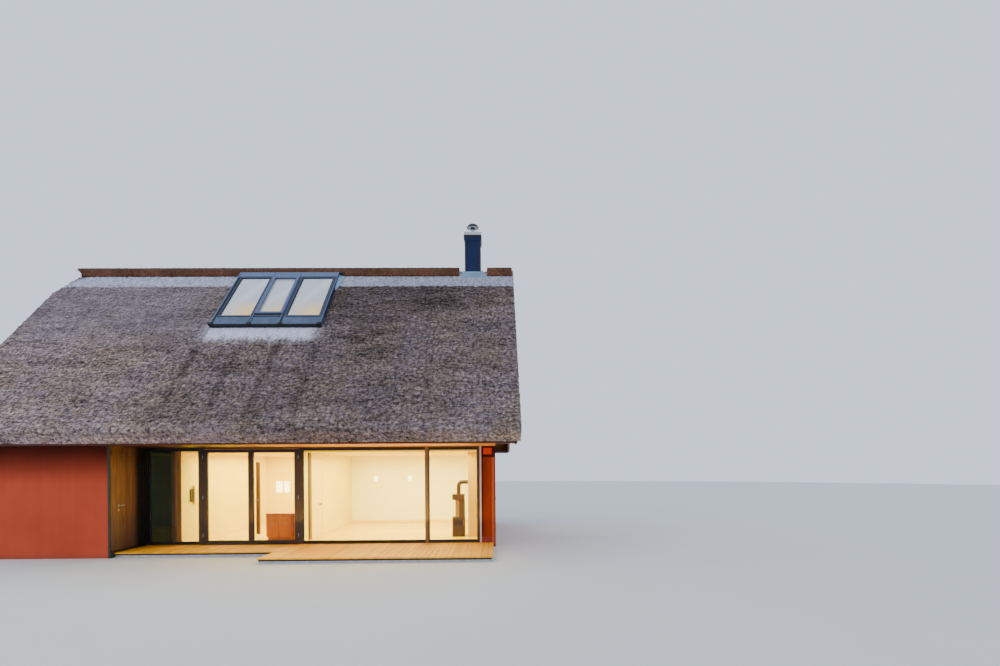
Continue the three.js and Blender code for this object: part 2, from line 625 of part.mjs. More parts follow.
buildFloors();
buildFrontWall();
buildBackWall();
buildGables();
buildSideWall();
buildGlazing();
buildEaves();
buildRoofBoards();
buildThatch();
buildBargeBoards();
buildRidgeCap();
buildSkylight();
buildChimney();
buildInside();

export default house;
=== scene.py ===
"""Looks of the thatched cottage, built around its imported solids. Metres, front towards -Y, up +Z."""

import math

import bmesh
import bpy
from mathutils import Matrix, Vector


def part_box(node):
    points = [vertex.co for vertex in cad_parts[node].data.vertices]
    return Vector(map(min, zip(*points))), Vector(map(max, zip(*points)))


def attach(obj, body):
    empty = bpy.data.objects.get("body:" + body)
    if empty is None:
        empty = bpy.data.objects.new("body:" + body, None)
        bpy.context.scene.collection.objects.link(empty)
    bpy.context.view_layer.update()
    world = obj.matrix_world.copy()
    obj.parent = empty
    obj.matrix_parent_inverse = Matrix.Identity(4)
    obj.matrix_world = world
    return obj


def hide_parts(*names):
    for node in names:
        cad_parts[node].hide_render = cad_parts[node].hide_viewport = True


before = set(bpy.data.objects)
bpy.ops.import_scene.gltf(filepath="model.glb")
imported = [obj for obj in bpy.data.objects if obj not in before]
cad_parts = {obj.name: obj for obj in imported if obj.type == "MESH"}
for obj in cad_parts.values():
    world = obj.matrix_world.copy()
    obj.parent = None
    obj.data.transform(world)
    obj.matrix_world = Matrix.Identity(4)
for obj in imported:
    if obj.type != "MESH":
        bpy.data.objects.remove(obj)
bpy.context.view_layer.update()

# Sizes of the house that its pieces share
PITCH = math.radians(46.5)
COS, SIN, TAN = math.cos(PITCH), math.sin(PITCH), math.tan(PITCH)
EAVE_Y = 4.5
APEX_Z = 2.631 + EAVE_Y * TAN
THATCH = 0.33
VERGE_X = 5.885
SOFFIT_X = 5.8
SOFFIT_Z, SOFFIT_TOP = 2.39, 2.412
WALL_X, WALL_Y = 5.385, 3.4
FLOOR_Z, CEILING_Z = 0.1, 2.28
PORCH_X = -2.81
SIDE_WALL = 0.13
DOOR_Y = (-3.32, -2.34)
DOOR_TOP = 2.21
HINGE_Z = (0.35, 1.15, 1.95)
GLAZING_Y = -2.1
FRENCH_PIN_X = (-1.5125, 0.7275)
MULLION_X = 3.7555
END_STEP_X = 5.302
INSIDE_X, INSIDE_Y = 5.06, 3.075
HALL_END_X = -2.07
# Heights over which the painted shade under the eaves deepens
EAVE_DARK_Z = (1.6, 2.42)
SILL_Z, HEAD_Z = 0.125, 2.356
DECK_SPLIT_X = 0.62
SKYLIGHT_X = (-1.345, 1.275)
SKYLIGHT_S = (0.46, 2.93)
SKYLIGHT_PROUD = 0.1
PANE_X = ((-1.23, -0.485), (-0.37, 0.235), (0.372, 1.16))
PANE_S = (0.741, 2.555)
STACK_X, STACK_HALF = 4.815, 0.207
LIVING_FACE_X, HALL_FACE_X = 0.7005, -2.0615
GAP = 0.0003
IMAGE_WIDTH, IMAGE_HEIGHT = 1000, 666

# Places and depths of the dark runs on the thatch below the roof light
RUNS = ((-1.38, 0.8), (-0.45, 0.6), (0.4, 1.1), (1.3, 0.6))

# Colours that two finishes share, as 0 to 255 on screen
RED_RENDER = (178, 68, 44)
# Painted shade under the eaves
EAVE_SHADE = (58, 12, 4)
HALL_WALL = (240, 236, 190)


# Node trees

def operator(operation, turned=False):
    """A method that adds one Math node. Turned, it is the reflected operator."""
    def method(self, other=0):
        a, b = (other, self) if turned else (self, other)
        return self.maker.add("ShaderNodeMath", {"operation": operation}, {0: a, 1: b})
    return method


class Term:
    """A socket of a node tree. An expression on terms adds the Math nodes that work it out."""

    __add__ = __radd__ = operator("ADD")
    __mul__ = __rmul__ = operator("MULTIPLY")
    __sub__, __rsub__ = operator("SUBTRACT"), operator("SUBTRACT", turned=True)
    __truediv__ = operator("DIVIDE")
    __gt__, __lt__ = operator("GREATER_THAN"), operator("LESS_THAN")
    __abs__, floor, fract = operator("ABSOLUTE"), operator("FLOOR"), operator("FRACT")
    most = operator("MAXIMUM")

    def __init__(self, maker, socket):
        self.maker, self.socket = maker, socket

    def of(self, name):
        return Term(self.maker, self.socket.node.outputs[name])

    def clamped(self):
        return self.maker.add("ShaderNodeMath", {"operation": "ADD", "use_clamp": True}, {0: self, 1: 0})


def rgb(color):
    """A colour given as 0 to 255 on screen, as linear light with an alpha of 1."""
    linear = [c / 255 / 12.92 if c / 255 <= 0.04045 else ((c / 255 + 0.055) / 1.055) ** 2.4 for c in color]
    return (*linear, 1)


class Maker:
    """Adds nodes to a tree: the type, its settings first, then the values or links of its sockets."""

    def __init__(self, tree):
        self.tree = tree

    def add(self, kind, settings=None, values=None, out=None):
        node = self.tree.nodes.new(kind)
        for key, value in (settings or {}).items():
            setattr(node, key, value)
        for key, value in (values or {}).items():
            socket = node.inputs[key] if isinstance(key, int) else next(
                s for s in node.inputs if s.name == key and s.enabled)
            if isinstance(value, Term):
                self.tree.links.new(value.socket, socket)
            else:
                socket.default_value = rgb(value) if socket.type == "RGBA" else value
        if not node.outputs:
            return node
        if out is None:
            return Term(self, next(s for s in node.outputs if s.enabled))
        return Term(self, node.outputs[out])


class Finish(Maker):
    """A material on the object coordinates of the house. Colours are given as 0 to 255 on screen."""

    def __init__(self, name):
        self.material = bpy.data.materials.new(name)
        self.material.use_nodes = True
        super().__init__(self.material.node_tree)
        self.tree.nodes.clear()
        self.place = self.add("ShaderNodeTexCoord", out="Object")
        split = self.add("ShaderNodeSeparateXYZ", values={0: self.place}, out="X")
        self.x, self.y, self.z = split, split.of("Y"), split.of("Z")

    def vector(self, x, y, z):
        return self.add("ShaderNodeCombineXYZ", values={0: x, 1: y, 2: z})

    def grey(self, value):
        return self.vector(value, value, value)

    def noise(self, place, scale, detail=4, rough=0.55, lift=0):
        """Noise at a place, or at three coordinates. A lift spreads it about its middle."""
        place = self.vector(*place) if isinstance(place, tuple) else place
        noise = self.add("ShaderNodeTexNoise", {"noise_dimensions": "3D"},
                         {"Vector": place, "Scale": scale, "Detail": detail, "Roughness": rough}, out=0)
        return noise if not lift else ((noise - 0.5) * lift + 0.5).clamped()

    def chance(self, number):
        """A random value for each whole number."""
        return self.add("ShaderNodeTexWhiteNoise", {"noise_dimensions": "1D"}, {"W": number}, out="Value")

    def shade(self):
        """The number that each reed, sprig or board was given."""
        return self.add("ShaderNodeAttribute", {"attribute_name": "shade"}, out="Fac")

    def facing(self, axis):
        """How far the surface faces along an axis."""
        normal = self.add("ShaderNodeNewGeometry", out="Normal")
        return self.add("ShaderNodeSeparateXYZ", values={0: normal}, out=axis)

    def step(self, value, low, high):
        """0 below low, 1 above high, smooth between them. High may be the lower number."""
        return self.add("ShaderNodeMapRange", {"interpolation_type": "SMOOTHSTEP"},
                        {"Value": value, "From Min": low, "From Max": high})

    def mix(self, a, b, amount, blend="MIX"):
        return self.add("ShaderNodeMix", {"data_type": "RGBA", "blend_type": blend},
                        {0: amount, 6: a, 7: b}, out=2)

    def over(self, color, *layers):
        """Colours laid over the first one in turn, each by its own amount."""
        for layer, amount in layers:
            color = self.mix(color, layer, amount)
        return color

    def toned(self, color, tone):
        return self.mix(color, self.grey(tone), 1.0, "MULTIPLY")

    def bump(self, height, distance, strength=1.0):
        return self.add("ShaderNodeBump", None,
                        {"Height": height, "Distance": distance, "Strength": strength})

    def surface(self, color, roughness, normal=None, specular=None, **shader):
        """A Principled shader. Keywords give the sockets that are one value all over."""
        values = {"Base Color": color, "Roughness": roughness}
        values.update({key.replace("_", " ").title(): value for key, value in shader.items()})
        if specular is not None:
            values["Specular IOR Level"] = specular
        if normal is not None:
            values["Normal"] = normal
        return self.add("ShaderNodeBsdfPrincipled", values=values)

    def done(self, shader):
        self.add("ShaderNodeOutputMaterial", values={"Surface": shader})
        return self.material

    def solid(self, *args, **shader):
        """Ends a finish that is one Principled surface."""
        return self.done(self.surface(*args, **shader))

    def glass(self, tint, amount, gloss):
        """Ends a finish of clear glass of a tint, covered by its gloss by an amount."""
        clear = self.add("ShaderNodeBsdfTransparent", values={"Color": tint})
        return self.done(self.add("ShaderNodeMixShader", values={0: amount, 1: clear, 2: gloss}))


def roof_place(f):
    """Down the slope and out of it: the same on both slopes."""
    side = abs(f.y)
    return side * COS + (APEX_Z - f.z) * SIN, side * SIN + (f.z - APEX_Z) * COS


def thatch_finish(name, weathered=True):
    """Purple and brown reed with dark and pale flecks, calmer at the upper left."""
    f = Finish(name)
    down, out = roof_place(f)
    lie = f.vector(f.x, down * 0.55, out)
    flat = f.vector(f.x * 0.32, down, out)
    grain = f.noise(lie, 15, 5, 0.75, 3.2)
    fleck = f.noise((f.x * 0.7, down * 0.6, out), 26, 2, 0.6, 3.6)
    dashes = f.noise(flat, 17, 3, 0.65, 3.4)
    clouds = f.noise(flat, 1.9, 5, 0.7, 3.0)
    patch = f.noise(lie, 0.8, 4, 0.6, 2.4)
    hue = f.noise(lie, 9, 3, 0.6, 2.6)
    purple = f.mix((86, 68, 74), (190, 170, 176), grain)
    brown = f.mix((78, 58, 52), (194, 172, 160), grain)
    calm = f.step(f.x, -0.6, -2.6) * f.step(down, 4.4, 2.4) * (f.y < 0) * 0.6
    color = f.over(f.mix(purple, brown, f.step(patch * 0.6 + hue * 0.4, 0.2, 0.7)),
                   ((146, 112, 76), f.step(f.noise(flat, 3.4, 4, 0.65, 2.6), 0.62, 0.95) * 0.22),
                   ((142, 136, 152), calm * 0.7))
    detail = fleck * 0.48 + dashes * 0.7 - 0.59
    tone = clouds * 0.62 + 0.48 + detail * (1 - calm) + f.shade() * 0.3
    # Painted light: the reed is lighter near the eaves, offsetting the shade of the downturned edge.
    tone = tone * (1 + f.step(f.z, 2.68, 2.5) * 0.6)
    if weathered:
        color, tone = weather(f, down, out, clouds, color, tone)
    return f.solid(f.toned(color, tone), 0.93, f.bump(grain * 0.6 + fleck * 0.4, 0.03, 0.9), 0.15)


def weather(f, down, out, clouds, color, tone):
    """Dark runs below the roof light, a damp patch beside it, and bleached reed under it and the ridge."""
    front = f.y < 0
    drawn = f.vector(f.x, down * 0.08, out * 0.3)
    tone = tone * (1 - f.step(f.x, -4.8, 0.9) * front * 0.34)
    tone = tone * (1 + f.step(down, 5.7, 6.3) * 0.14)
    tone = tone * (1 + f.step(f.x, 3.4, 5.2) * f.step(down, 3.6, 5.0) * front * 0.2)
    tone = tone * (1 - f.step(f.noise(drawn, 3.2, 4, 0.6, 2.4), 0.55, 0.9) * 0.16)
    wander = (f.noise((f.x * 0.3, down * 0.3, out), 3.2, 4, 0.7, 2.0) - 0.5) * 0.15
    broken = f.noise((f.x, down * 0.4, out), 3.6, 4, 0.7, 3.0)
    runs = 0
    for x, depth in RUNS:
        runs = f.step(abs(f.x + wander - x), 0.16, 0.02) * depth + runs
    runs = runs * f.step(down, 3.5, 3.75) * f.step(down, 6.5, 5.6) * front
    tone = tone * (1 - runs * (0.25 + broken) * 0.62)
    damp = f.step(down + (clouds - 0.5) * 1.6 + abs(f.x - 2.1) * 0.5, 4.2, 1.8)
    damp = damp * f.step(f.x, 1.0, 1.6) * front
    tone = tone * (1 - damp * 0.42)
    ridge = f.step(down + (f.noise(drawn, 9, 3) - 0.5) * 0.16, 1.06, 0.98)
    ragged = (f.noise((f.x, down * 0.3, out), 6, 5, 0.75) - 0.5) * 0.9
    foot = f.step(down + ragged, 3.66, 3.26) * (down > 2.8) * front
    foot = foot * f.step(f.x - ragged * 0.7, -1.62, -1.28) * f.step(f.x - ragged * 0.7, 1.4, 1.04)
    bleach = ridge.most(foot) * f.step(out, -0.16, -0.13)
    band = 1 - f.step(f.x, 1.0, 3.0) * (down < 2.0) * front * 0.14
    silver = f.mix((146, 150, 170), (214, 214, 230), f.noise(drawn, 30, 5, 0.7, 1.8))
    return f.mix(color, silver, bleach * 0.92), tone + bleach * ((1.06 + foot * 0.5) * band - tone) * 0.88


def heather_finish():
    f = Finish("heather")
    grain = f.noise((f.x, f.y * 0.3, f.z * 0.3), 60, 4, 0.6, 2)
    patch = f.noise(f.place, 3, 4, 0.6, 2)
    worn = f.noise((f.x * 0.6, f.y * 0.3, f.z * 0.3), 2.6, 4, 0.7, 2.6)
    color = f.over(f.mix((72, 42, 30), (150, 100, 74), grain), ((112, 92, 88), patch * 0.35))
    color = f.over(f.toned(color, 0.74 + worn * 0.5), ((44, 35, 38), f.step(f.z, 7.24, 7.27) * 0.9),
                   ((48, 24, 18), f.step(f.z, 7.05, 7.02) * 0.6))
    return f.solid(f.toned(color, 0.72 + f.shade() * 0.55), 0.95, f.bump(grain, 0.02), 0.1)


def render_finish():
    """Red render outside, with painted shade under the eaves, and pale plaster on the walls' inner faces."""
    f = Finish("brick_red_render")
    sand = f.noise(f.place, 260, 3, 0.6)
    trowel = f.noise((f.x, f.y, f.z * 1.4), 5, 5, 0.55, 1.6)
    cloud = f.noise(f.place, 0.9, 3, 0.5, 2)
    rain = f.noise((f.x * 3, f.y * 3, f.z * 0.12), 2.4, 3, 0.5, 1.7)
    color = f.over(f.mix(RED_RENDER, (204, 84, 56), cloud), ((164, 58, 36), rain * 0.35),
                   ((136, 72, 58), f.step(f.z + trowel * 0.12, 0.2, 0.06) * 0.5))
    # Painted shade: the render darkens towards the eaves.
    under_eave = f.step(f.z + (cloud - 0.5) * 0.2, *EAVE_DARK_Z) * (abs(f.y) > WALL_Y - 0.01)
    inside = (abs(f.x) < INSIDE_X) * (abs(f.y) < INSIDE_Y)
    color = f.over(f.toned(color, 0.93 + sand * 0.14), (EAVE_SHADE, under_eave * 0.92),
                   ((250, 224, 40), inside), ((255, 250, 216), inside * (f.x > 0.65)),
                   (HALL_WALL, inside * (f.x < HALL_END_X)))
    relief = (sand * 0.35 + trowel) * (1 - inside * 0.9)
    return f.solid(color, 0.9, f.bump(relief, 0.006, 0.8), 0.2)


def side_painted_shade(f):
    """Painted shade in the porch's inner corner and under the soffit; the boards also darken to their feet.
    """
    corner = f.step(f.y, -2.68, -2.42) * 0.99
    foot = f.step(f.z, 0.17, 0.14) * 0.75
    low = f.step(f.z, 1.35, 0.2) * 0.3
    high = f.step(f.z, 1.8, 2.42) * 0.5
    return (1 - corner) * (1 - foot) * (1 - low) * (1 - high)


def timber_finish(name, dark, light, along="z", width=0.1, start=0.0, rough=0.6, knots=0.5, painted_shade=None):
    """Sawn boards. The grain runs along one axis, and each board of the width has its own tone."""
    f = Finish(name)
    axes = {"x": f.x, "y": f.y, "z": f.z}
    first, second = (term for axis, term in axes.items() if axis != along)
    shift = f.chance(((first + second - start) / width).floor())
    lie = f.vector(*(term * (0.07 if axis == along else 1) + shift * far
                     for (axis, term), far in zip(axes.items(), (7, 3, 5))))
    rings = f.noise(lie, 26, 5, 0.62, 1.9)
    pores = f.noise(lie, 190, 2, 0.5)
    knot = f.step(f.noise((f.x + shift * 9, f.y + shift * 9, f.z * 0.6), 3.4, 2, 0.4), 0.68, 0.76)
    color = f.over(f.mix(dark, light, rings), ([c * 0.5 for c in dark], knot * knots))
    tone = 0.84 + shift * 0.28 + pores * 0.06
    # Boards with painted shade also turn greyer towards the bottom.
    if painted_shade is not None:
        color = f.over(color, ((104, 84, 72), f.step(f.z, 1.5, 0.2) * 0.55))
        tone = tone * painted_shade(f)
    relief = f.bump(rings * 0.5 + pores * 0.5, 0.0025)
    return f.solid(f.toned(color, tone), rings * 0.12 + rough - 0.06, relief, 0.35)


def soffit_finish():
    """Orange boards under the eaves, with a dark red board along their front and painted light."""
    f = Finish("soffit_boards")
    shift = f.chance((abs(f.y) / 0.12).floor())
    rings = f.noise((f.x * 0.06 + shift * 7, f.y, f.z), 24, 5, 0.6, 1.9)
    # Painted light and shade: dark beyond the porch, lit brighter orange towards the right over it, redder
    # to the left.
    painted_light = (f.x > (PORCH_X - 0.03)) * (f.x < 5.39) * (0.06 + f.step(f.x, -2.0, 3.0) * 0.92)
    color = f.over(f.mix((196, 98, 0), (250, 168, 10), rings), ((138, 44, 0), f.step(f.x, 1.0, -1.6) * 0.85))
    color = f.over(f.mix((20, 10, 6), color, painted_light * 0.97 + 0.03), ((84, 28, 16), f.step(abs(f.y), 3.5, 3.8)))
    return f.solid(f.toned(color, 0.86 + shift * 0.25), 0.55, f.bump(rings, 0.002), 0.35)


def painted_finish(name, color, rough=0.45, metallic=0.0, mottle=0.12, coat=0.0):
    f = Finish(name)
    cloud = f.noise(f.place, 4, 4, 0.6, 1.6)
    brush = f.noise(f.place, 120, 3, 0.6)
    shade = f.toned(color, 1 - mottle + cloud * mottle * 2)
    return f.solid(shade, brush * 0.16 + rough - 0.08, f.bump(brush, 0.0006),
                   metallic=metallic, coat_weight=coat)


def frame_finish():
    """Dark stained frames of the glazed front; the hinge barrels stand in front of them in steel."""
    f = Finish("dark_frames")
    rings = f.noise((f.x, f.y, f.z * 0.06), 70, 5, 0.6, 1.8)
    left, right = FRENCH_PIN_X
    steel = ((abs(f.x - left) < 0.009) + (abs(f.x - right) < 0.009)) * (f.y < (GLAZING_Y - 0.0005))
    mullion = f.mix((96, 80, 54), (140, 120, 84), rings)
    # Painted shade: darker tops left of x = 1, near black frames at the far left, dark side faces.
    color = f.over(f.mix((42, 27, 12), (88, 62, 34), rings),
                   ((28, 3, 1), f.step(f.z, 1.95, 2.34) * (f.x < 1.0) * 0.85),
                   (mullion, abs(f.x - MULLION_X) < 0.034), ((150, 152, 160), steel),
                   ((7, 8, 13), f.x < -2.62), ((12, 6, 5), abs(f.facing("Y")) < 0.6))
    return f.solid(color, 0.42 + rings * 0.12 - steel * 0.16, f.bump(rings, 0.001), 0.45)


def plaster_finish(name, color, ceiling=None):
    """Rolled plaster: another colour in the hall, painted shade at its top, a painted glow above the
    glazing's head.
    """
    f = Finish(name)
    cloud = f.noise(f.place, 1.2, 3, 0.5, 1.6)
    roller = f.noise(f.place, 150, 3, 0.6)
    shade = f.mix(color, [c * 0.94 for c in color], cloud)
    if ceiling:
        shade = f.over(shade, (ceiling, (f.facing("Z") < -0.5) * (f.z < 2.3)))
    hall = (f.x > PORCH_X) * (f.x < HALL_END_X)
    # Another colour over the hall, with painted shade at its top, where the hall is unlit.
    shade = f.over(shade, (HALL_WALL, hall), ((26, 24, 20), hall * (f.z > 2.2) * (f.y < 0)))
    # Painted glow on the plaster above the glazing's head.
    glow = f.mix((0, 0, 0), (255, 160, 50), (f.z > 2.281) * (f.y < -1.9) * (f.x > HALL_END_X))
    return f.solid(shade, 0.88, f.bump(roller, 0.001, 0.6), 0.2, emission_color=glow, emission_strength=1.1)


def floor_finish():
    f = Finish("oak_floor")
    board = (f.y / 0.14).floor()
    offset = f.chance(board)
    place = f.vector(board, ((f.x + offset * 1.9) / 1.9).floor(), 0)
    tone = f.add("ShaderNodeTexWhiteNoise", {"noise_dimensions": "2D"}, {"Vector": place}, out="Value")
    rings = f.noise((f.x * 0.07 + offset * 5, f.y + tone, f.z), 22, 5, 0.6, 1.8)
    joint = f.step((f.y / 0.14).fract(), 0.03, 0.012)
    color = f.over(f.mix((226, 182, 8), (248, 218, 24), rings), ((80, 50, 28), joint * 0.8))
    # Painted shade: dark blue-grey floor in the unlit hall. The floor is also near black at its front edge.
    color = f.over(f.toned(color, 0.86 + tone * 0.24), ((60, 66, 80), (f.x < -2.18) * (f.x > PORCH_X)),
                   ((30, 24, 20), f.y < -3.2))
    return f.solid(color, 0.42, f.bump(rings - joint, 0.0015), 0.4)


def clear_glass_finish():
    f = Finish("window_glass")
    smear = f.noise((f.x, f.y, f.z * 0.4), 3, 4, 0.6, 1.5)
    gloss = f.surface((150, 165, 168), 0.02 + smear * 0.03, specular=0.6)
    facing = f.add("ShaderNodeFresnel", values={"IOR": 1.35})
    return f.glass((236, 244, 240), (facing * 0.9 + 0.02).clamped(), gloss)


def roof_glass_finish():
    """Coated roof glass, painted with the pale sky and with a warm glow in its panes' lower right corners.
    """
    f = Finish("coated_roof_glass")
    down, out = roof_place(f)
    smear = f.noise((f.x, down * 0.3, out), 5, 4, 0.6, 1.6)
    span = (down - PANE_S[0]) / (PANE_S[1] - PANE_S[0])
    across = f.x - PANE_X[0][0]
    for before, pane in zip(PANE_X, PANE_X[1:]):
        across = across - (f.x > (before[1] + pane[0]) / 2) * (pane[0] - before[0])
    # Painted light: a warm glow low in each pane, strongest to the right, a paler painted streak across its
    # upper part, and a faint pale glow all over for the sky.
    warm = f.step(span + (smear - 0.5) * 0.12, 0.56, 0.88) * (f.step(across, 0.08, 0.6) * 0.75 + 0.25)
    pale = f.step(abs(across * 0.8 - 0.62 + span * 0.7), 0.16, 0.0) * f.step(span, 0.9, 0.4)
    color = f.over(f.mix((192, 194, 206), (208, 206, 214), smear), ((255, 206, 120), warm * 0.85))
    glow = f.mix(f.grey(pale * 0.7 + 0.15), (255, 190, 84), warm)
    gloss = f.surface(color, 0.1 + smear * 0.05, specular=0.6, coat_weight=0.6, emission_strength=0.16,
                      emission_color=glow)
    return f.glass((225, 232, 236), 0.9, gloss)


def lead_finish():
    """Painted metal of the roof light: dark navy beside the panes, paler above and below them."""
    f = Finish("blue_grey_lead")
    down = roof_place(f)[0]
    cloud = f.noise(f.place, 6, 5, 0.6, 1.8)
    rub = f.noise((f.x, f.y * 4, f.z * 4), 22, 3, 0.6)
    beside = f.step(down, PANE_S[0] - 0.02, PANE_S[0]) * f.step(down, PANE_S[1] + 0.02, PANE_S[1])
    apron = f.mix((56, 70, 96), (84, 100, 128), cloud)
    bars = f.mix((20, 28, 50), (46, 58, 86), cloud)
    relief = f.bump(cloud * 0.5 + rub, 0.0015)
    return f.solid(f.mix(apron, bars, beside), 0.42 + rub * 0.18, relief, metallic=0.25)


def cladding_finish():
    f = Finish("navy_cladding")
    cloud = f.noise((f.x, f.y, f.z * 0.3), 7, 4, 0.6, 1.7)
    return f.solid(f.mix((3, 17, 54), (8, 30, 78), cloud), 0.5 + cloud * 0.14, f.bump(cloud, 0.0012), 0.25)


def concrete_finish():
    f = Finish("pale_crown")
    cloud = f.noise(f.place, 14, 5, 0.65, 1.8)
    pit = f.noise(f.place, 130, 3, 0.6)
    return f.solid(f.mix((158, 162, 160), (206, 208, 204), cloud), 0.85, f.bump(cloud * 0.4 + pit, 0.003))


def casing_finish():
    """Boards on the end of the hall partition, with a painted glow that dies away towards the hall."""
    f = Finish("end_casing")
    tone = f.chance(((f.x + 2.285) / 0.0378).floor()) * 0.4 + 0.6
    rings = f.noise((f.x, f.y, f.z * 0.05), 60, 4, 0.6, 1.8)
    color = f.mix((70, 34, 8), (168, 96, 26), rings)
    # Painted light: the boards glow, brightest beside the room and fading towards the hall.
    color = f.toned(color, tone * (0.28 + f.step(f.x, -2.23, -2.12) * 0.84))
    return f.solid(color, 0.6, emission_color=color, emission_strength=0.9)


def corner_finish():
    """Grey-green corner post: its outer edge is covered by the red render and its painted eave shade."""
    f = Finish("corner_paint")
    brush = f.noise(f.place, 120, 3, 0.6)
    # Painted shade: the red edge darkens under the eaves, like the render.
    red = f.mix(RED_RENDER, EAVE_SHADE, f.step(f.z, *EAVE_DARK_Z) * 0.92)
    return f.solid(f.mix((56, 56, 46), red, f.x < (PORCH_X - 0.04)), 0.6, f.bump(brush, 0.0006), 0.3)


def footing_finish():
    """Pale footing of the deck, in shadow right under the boards."""
    f = Finish("pale_footing")
    cloud = f.noise(f.place, 9, 4, 0.6, 1.8)
    return f.solid(f.over(f.mix((150, 154, 166), (196, 198, 206), cloud),
                          ((46, 36, 30), f.step(f.z, 0.032, 0.044))), 0.85)


def wall_end_finish():
    """End of the right gable wall beside the glazing, painted as lit orange from the porch."""
    f = Finish("lit_wall_end")
    cloud = f.noise((f.x * 2, f.y, f.z * 0.5), 3, 4, 0.6, 1.6)
    # Painted light and shade: orange light from the porch, darker at the left, a painted shadow at the top
    # round the block, a painted highlight on the strip by the corner, and the block's front painted brightly
    # lit. The foot is pinker.
    color = f.over(f.mix((122, 42, 14), (150, 50, 2), f.step(f.x + (cloud - 0.5) * 0.1, 5.1, 5.24)),
                   ((84, 10, 2), f.x < 5.093), ((30, 4, 2), f.step(f.z, 2.11, 2.135) * 0.85),
                   ((138, 60, 48), f.z < 0.24),
                   ((186, 92, 52), (f.x > END_STEP_X) * (f.x < 5.35) * (f.z < 2.12)),
                   ((214, 58, 2), f.y < (GLAZING_Y - 0.006)))
    return f.solid(color, 0.85, specular=0.2)


def lamp_finish():
    f = Finish("lamp_glass")
    color = f.mix((255, 250, 226), (255, 244, 208), f.noise(f.place, 6, 2, 0.5, 1.2))
    return f.solid(color, 0.3, emission_color=color, emission_strength=5.0)


def stage_finish():
    f = Finish("pale_stage")
    return f.solid(f.mix((214, 214, 212), (220, 220, 218), f.noise(f.place, 0.3, 2, 0.5)), 0.9)


FINISH = {
    "thatch": thatch_finish("weathered_thatch"),
    "reed_ends": thatch_finish("cut_reeds", weathered=False),
    "heather": heather_finish(),
    "render": render_finish(),
    "soffit": soffit_finish(),
    "frames": frame_finish(),
    "corner": corner_finish(),
    "plaster": plaster_finish("warm_plaster", (252, 230, 44), ceiling=(248, 220, 60)),
    "breast": plaster_finish("chimney_breast_plaster", (232, 184, 56)),
    "floor": floor_finish(),
    "clear": clear_glass_finish(),
    "roof_glass": roof_glass_finish(),
    "lead": lead_finish(),
    "cladding": cladding_finish(),
    "concrete": concrete_finish(),
    "casing": casing_finish(),
    "footing": footing_finish(),
    "wall_end": wall_end_finish(),
    "lamp": lamp_finish(),
    "stage": stage_finish(),
}

# Timbers: dark and light, the grain's axis, the boards' width and start, roughness and knots
for key, *timber in (
    ("barge", "barge_boards", (74, 42, 28), (116, 70, 44), "y", 0.19),
    ("rafters", "roof_boards", (150, 104, 58), (206, 160, 100), "x", 0.12),
    ("deck", "deck_boards", (246, 142, 0), (255, 198, 22), "y", 0.1196, 0.62, 0.62),
    ("cabinet_dark", "cabinet_dark_wood", (152, 52, 0), (198, 94, 0), "z", 0.11, 0.0, 0.4, 0.1),
    ("cabinet", "cabinet_wood", (198, 94, 0), (240, 138, 0), "z", 0.31, 0.0, 0.4, 0.15),
    ("shelf", "shelf_wood", (80, 46, 4), (128, 82, 16), "z", 0.31, 0.0, 0.5, 0.2),
    # The side boards carry painted shade.
    ("side_boards", "side_boards", (82, 52, 30), (166, 110, 60), "z", 0.1088, -3.3197, 0.6, 0.85, side_painted_shade),
):
    FINISH[key] = timber_finish(*timber)

# Paints and metals: roughness, metallic, mottle and coat
for key, *paint in (
    ("window_paint", "window_paint", (56, 44, 38), 0.42, 0.0, 0.12, 0.15),
    ("inner_door", "door_paint", (252, 220, 70), 0.4, 0.0, 0.03),
    ("caps", "blue_caps", (84, 100, 134), 0.5, 0.2),
    ("flashing", "pale_lead", (128, 156, 180), 0.42, 0.3, 0.18),
    ("gasket", "black_rubber", (8, 10, 16), 0.7),
    ("trim_black", "black_trim", (10, 14, 24), 0.4, 0.2),
    ("cowl", "dark_cowl", (26, 30, 38), 0.5, 0.2),
    ("cowl_pale", "pale_cowl", (186, 188, 192), 0.5),
    ("steel", "brushed_steel", (178, 170, 160), 0.3, 0.9, 0.08),
    ("stove_iron", "stove_iron", (84, 50, 12), 0.6),
    ("stove_pipe", "stove_pipe", (62, 38, 10), 0.5),
    ("stove_stone", "stove_stone", (170, 122, 52), 0.5, 0.0, 0.22),
    ("stove_base", "stove_base", (66, 38, 12), 0.5),
    ("stove_glass", "stove_glass", (58, 32, 16), 0.3),
    ("white_trim", "pale_trim", (214, 196, 178), 0.5),
    ("inner_trim", "inner_trim", (96, 66, 28), 0.5),
):
    FINISH[key] = painted_finish(*paint)


# Mesh code

def place(name, data):
    """An object at the origin."""
    thing = bpy.data.objects.new(name, data)
    bpy.context.scene.collection.objects.link(thing)
    return thing


def mesh_of(bm, name):
    mesh = bpy.data.meshes.new(name)
    bm.to_mesh(mesh)
    bm.free()
    return mesh


def block(bm, low, high):
    """A box between two corners."""
    size = Vector(high) - Vector(low)
    middle = (Vector(high) + Vector(low)) / 2
    bmesh.ops.create_cube(bm, size=1, matrix=Matrix.Translation(middle) @ Matrix.Diagonal((*size, 1)))


def boxes(*corners):
    """A bmesh with a box for each pair of corners."""
    bm = bmesh.new()
    for low, high in corners:
        block(bm, low, high)
    return bm


def frame_bars(u0, u1, v0, v1, side, low=None, high=None):
    """The bars of a frame as pairs of ranges: the left and right one, then the low and high one."""
    inner = (u0 + side, u1 - side)
    return [((u0, u0 + side), (v0, v1)), ((u1 - side, u1), (v0, v1)),
            (inner, (v0, v0 + (low or side))), (inner, (v1 - (high or side), v1))]


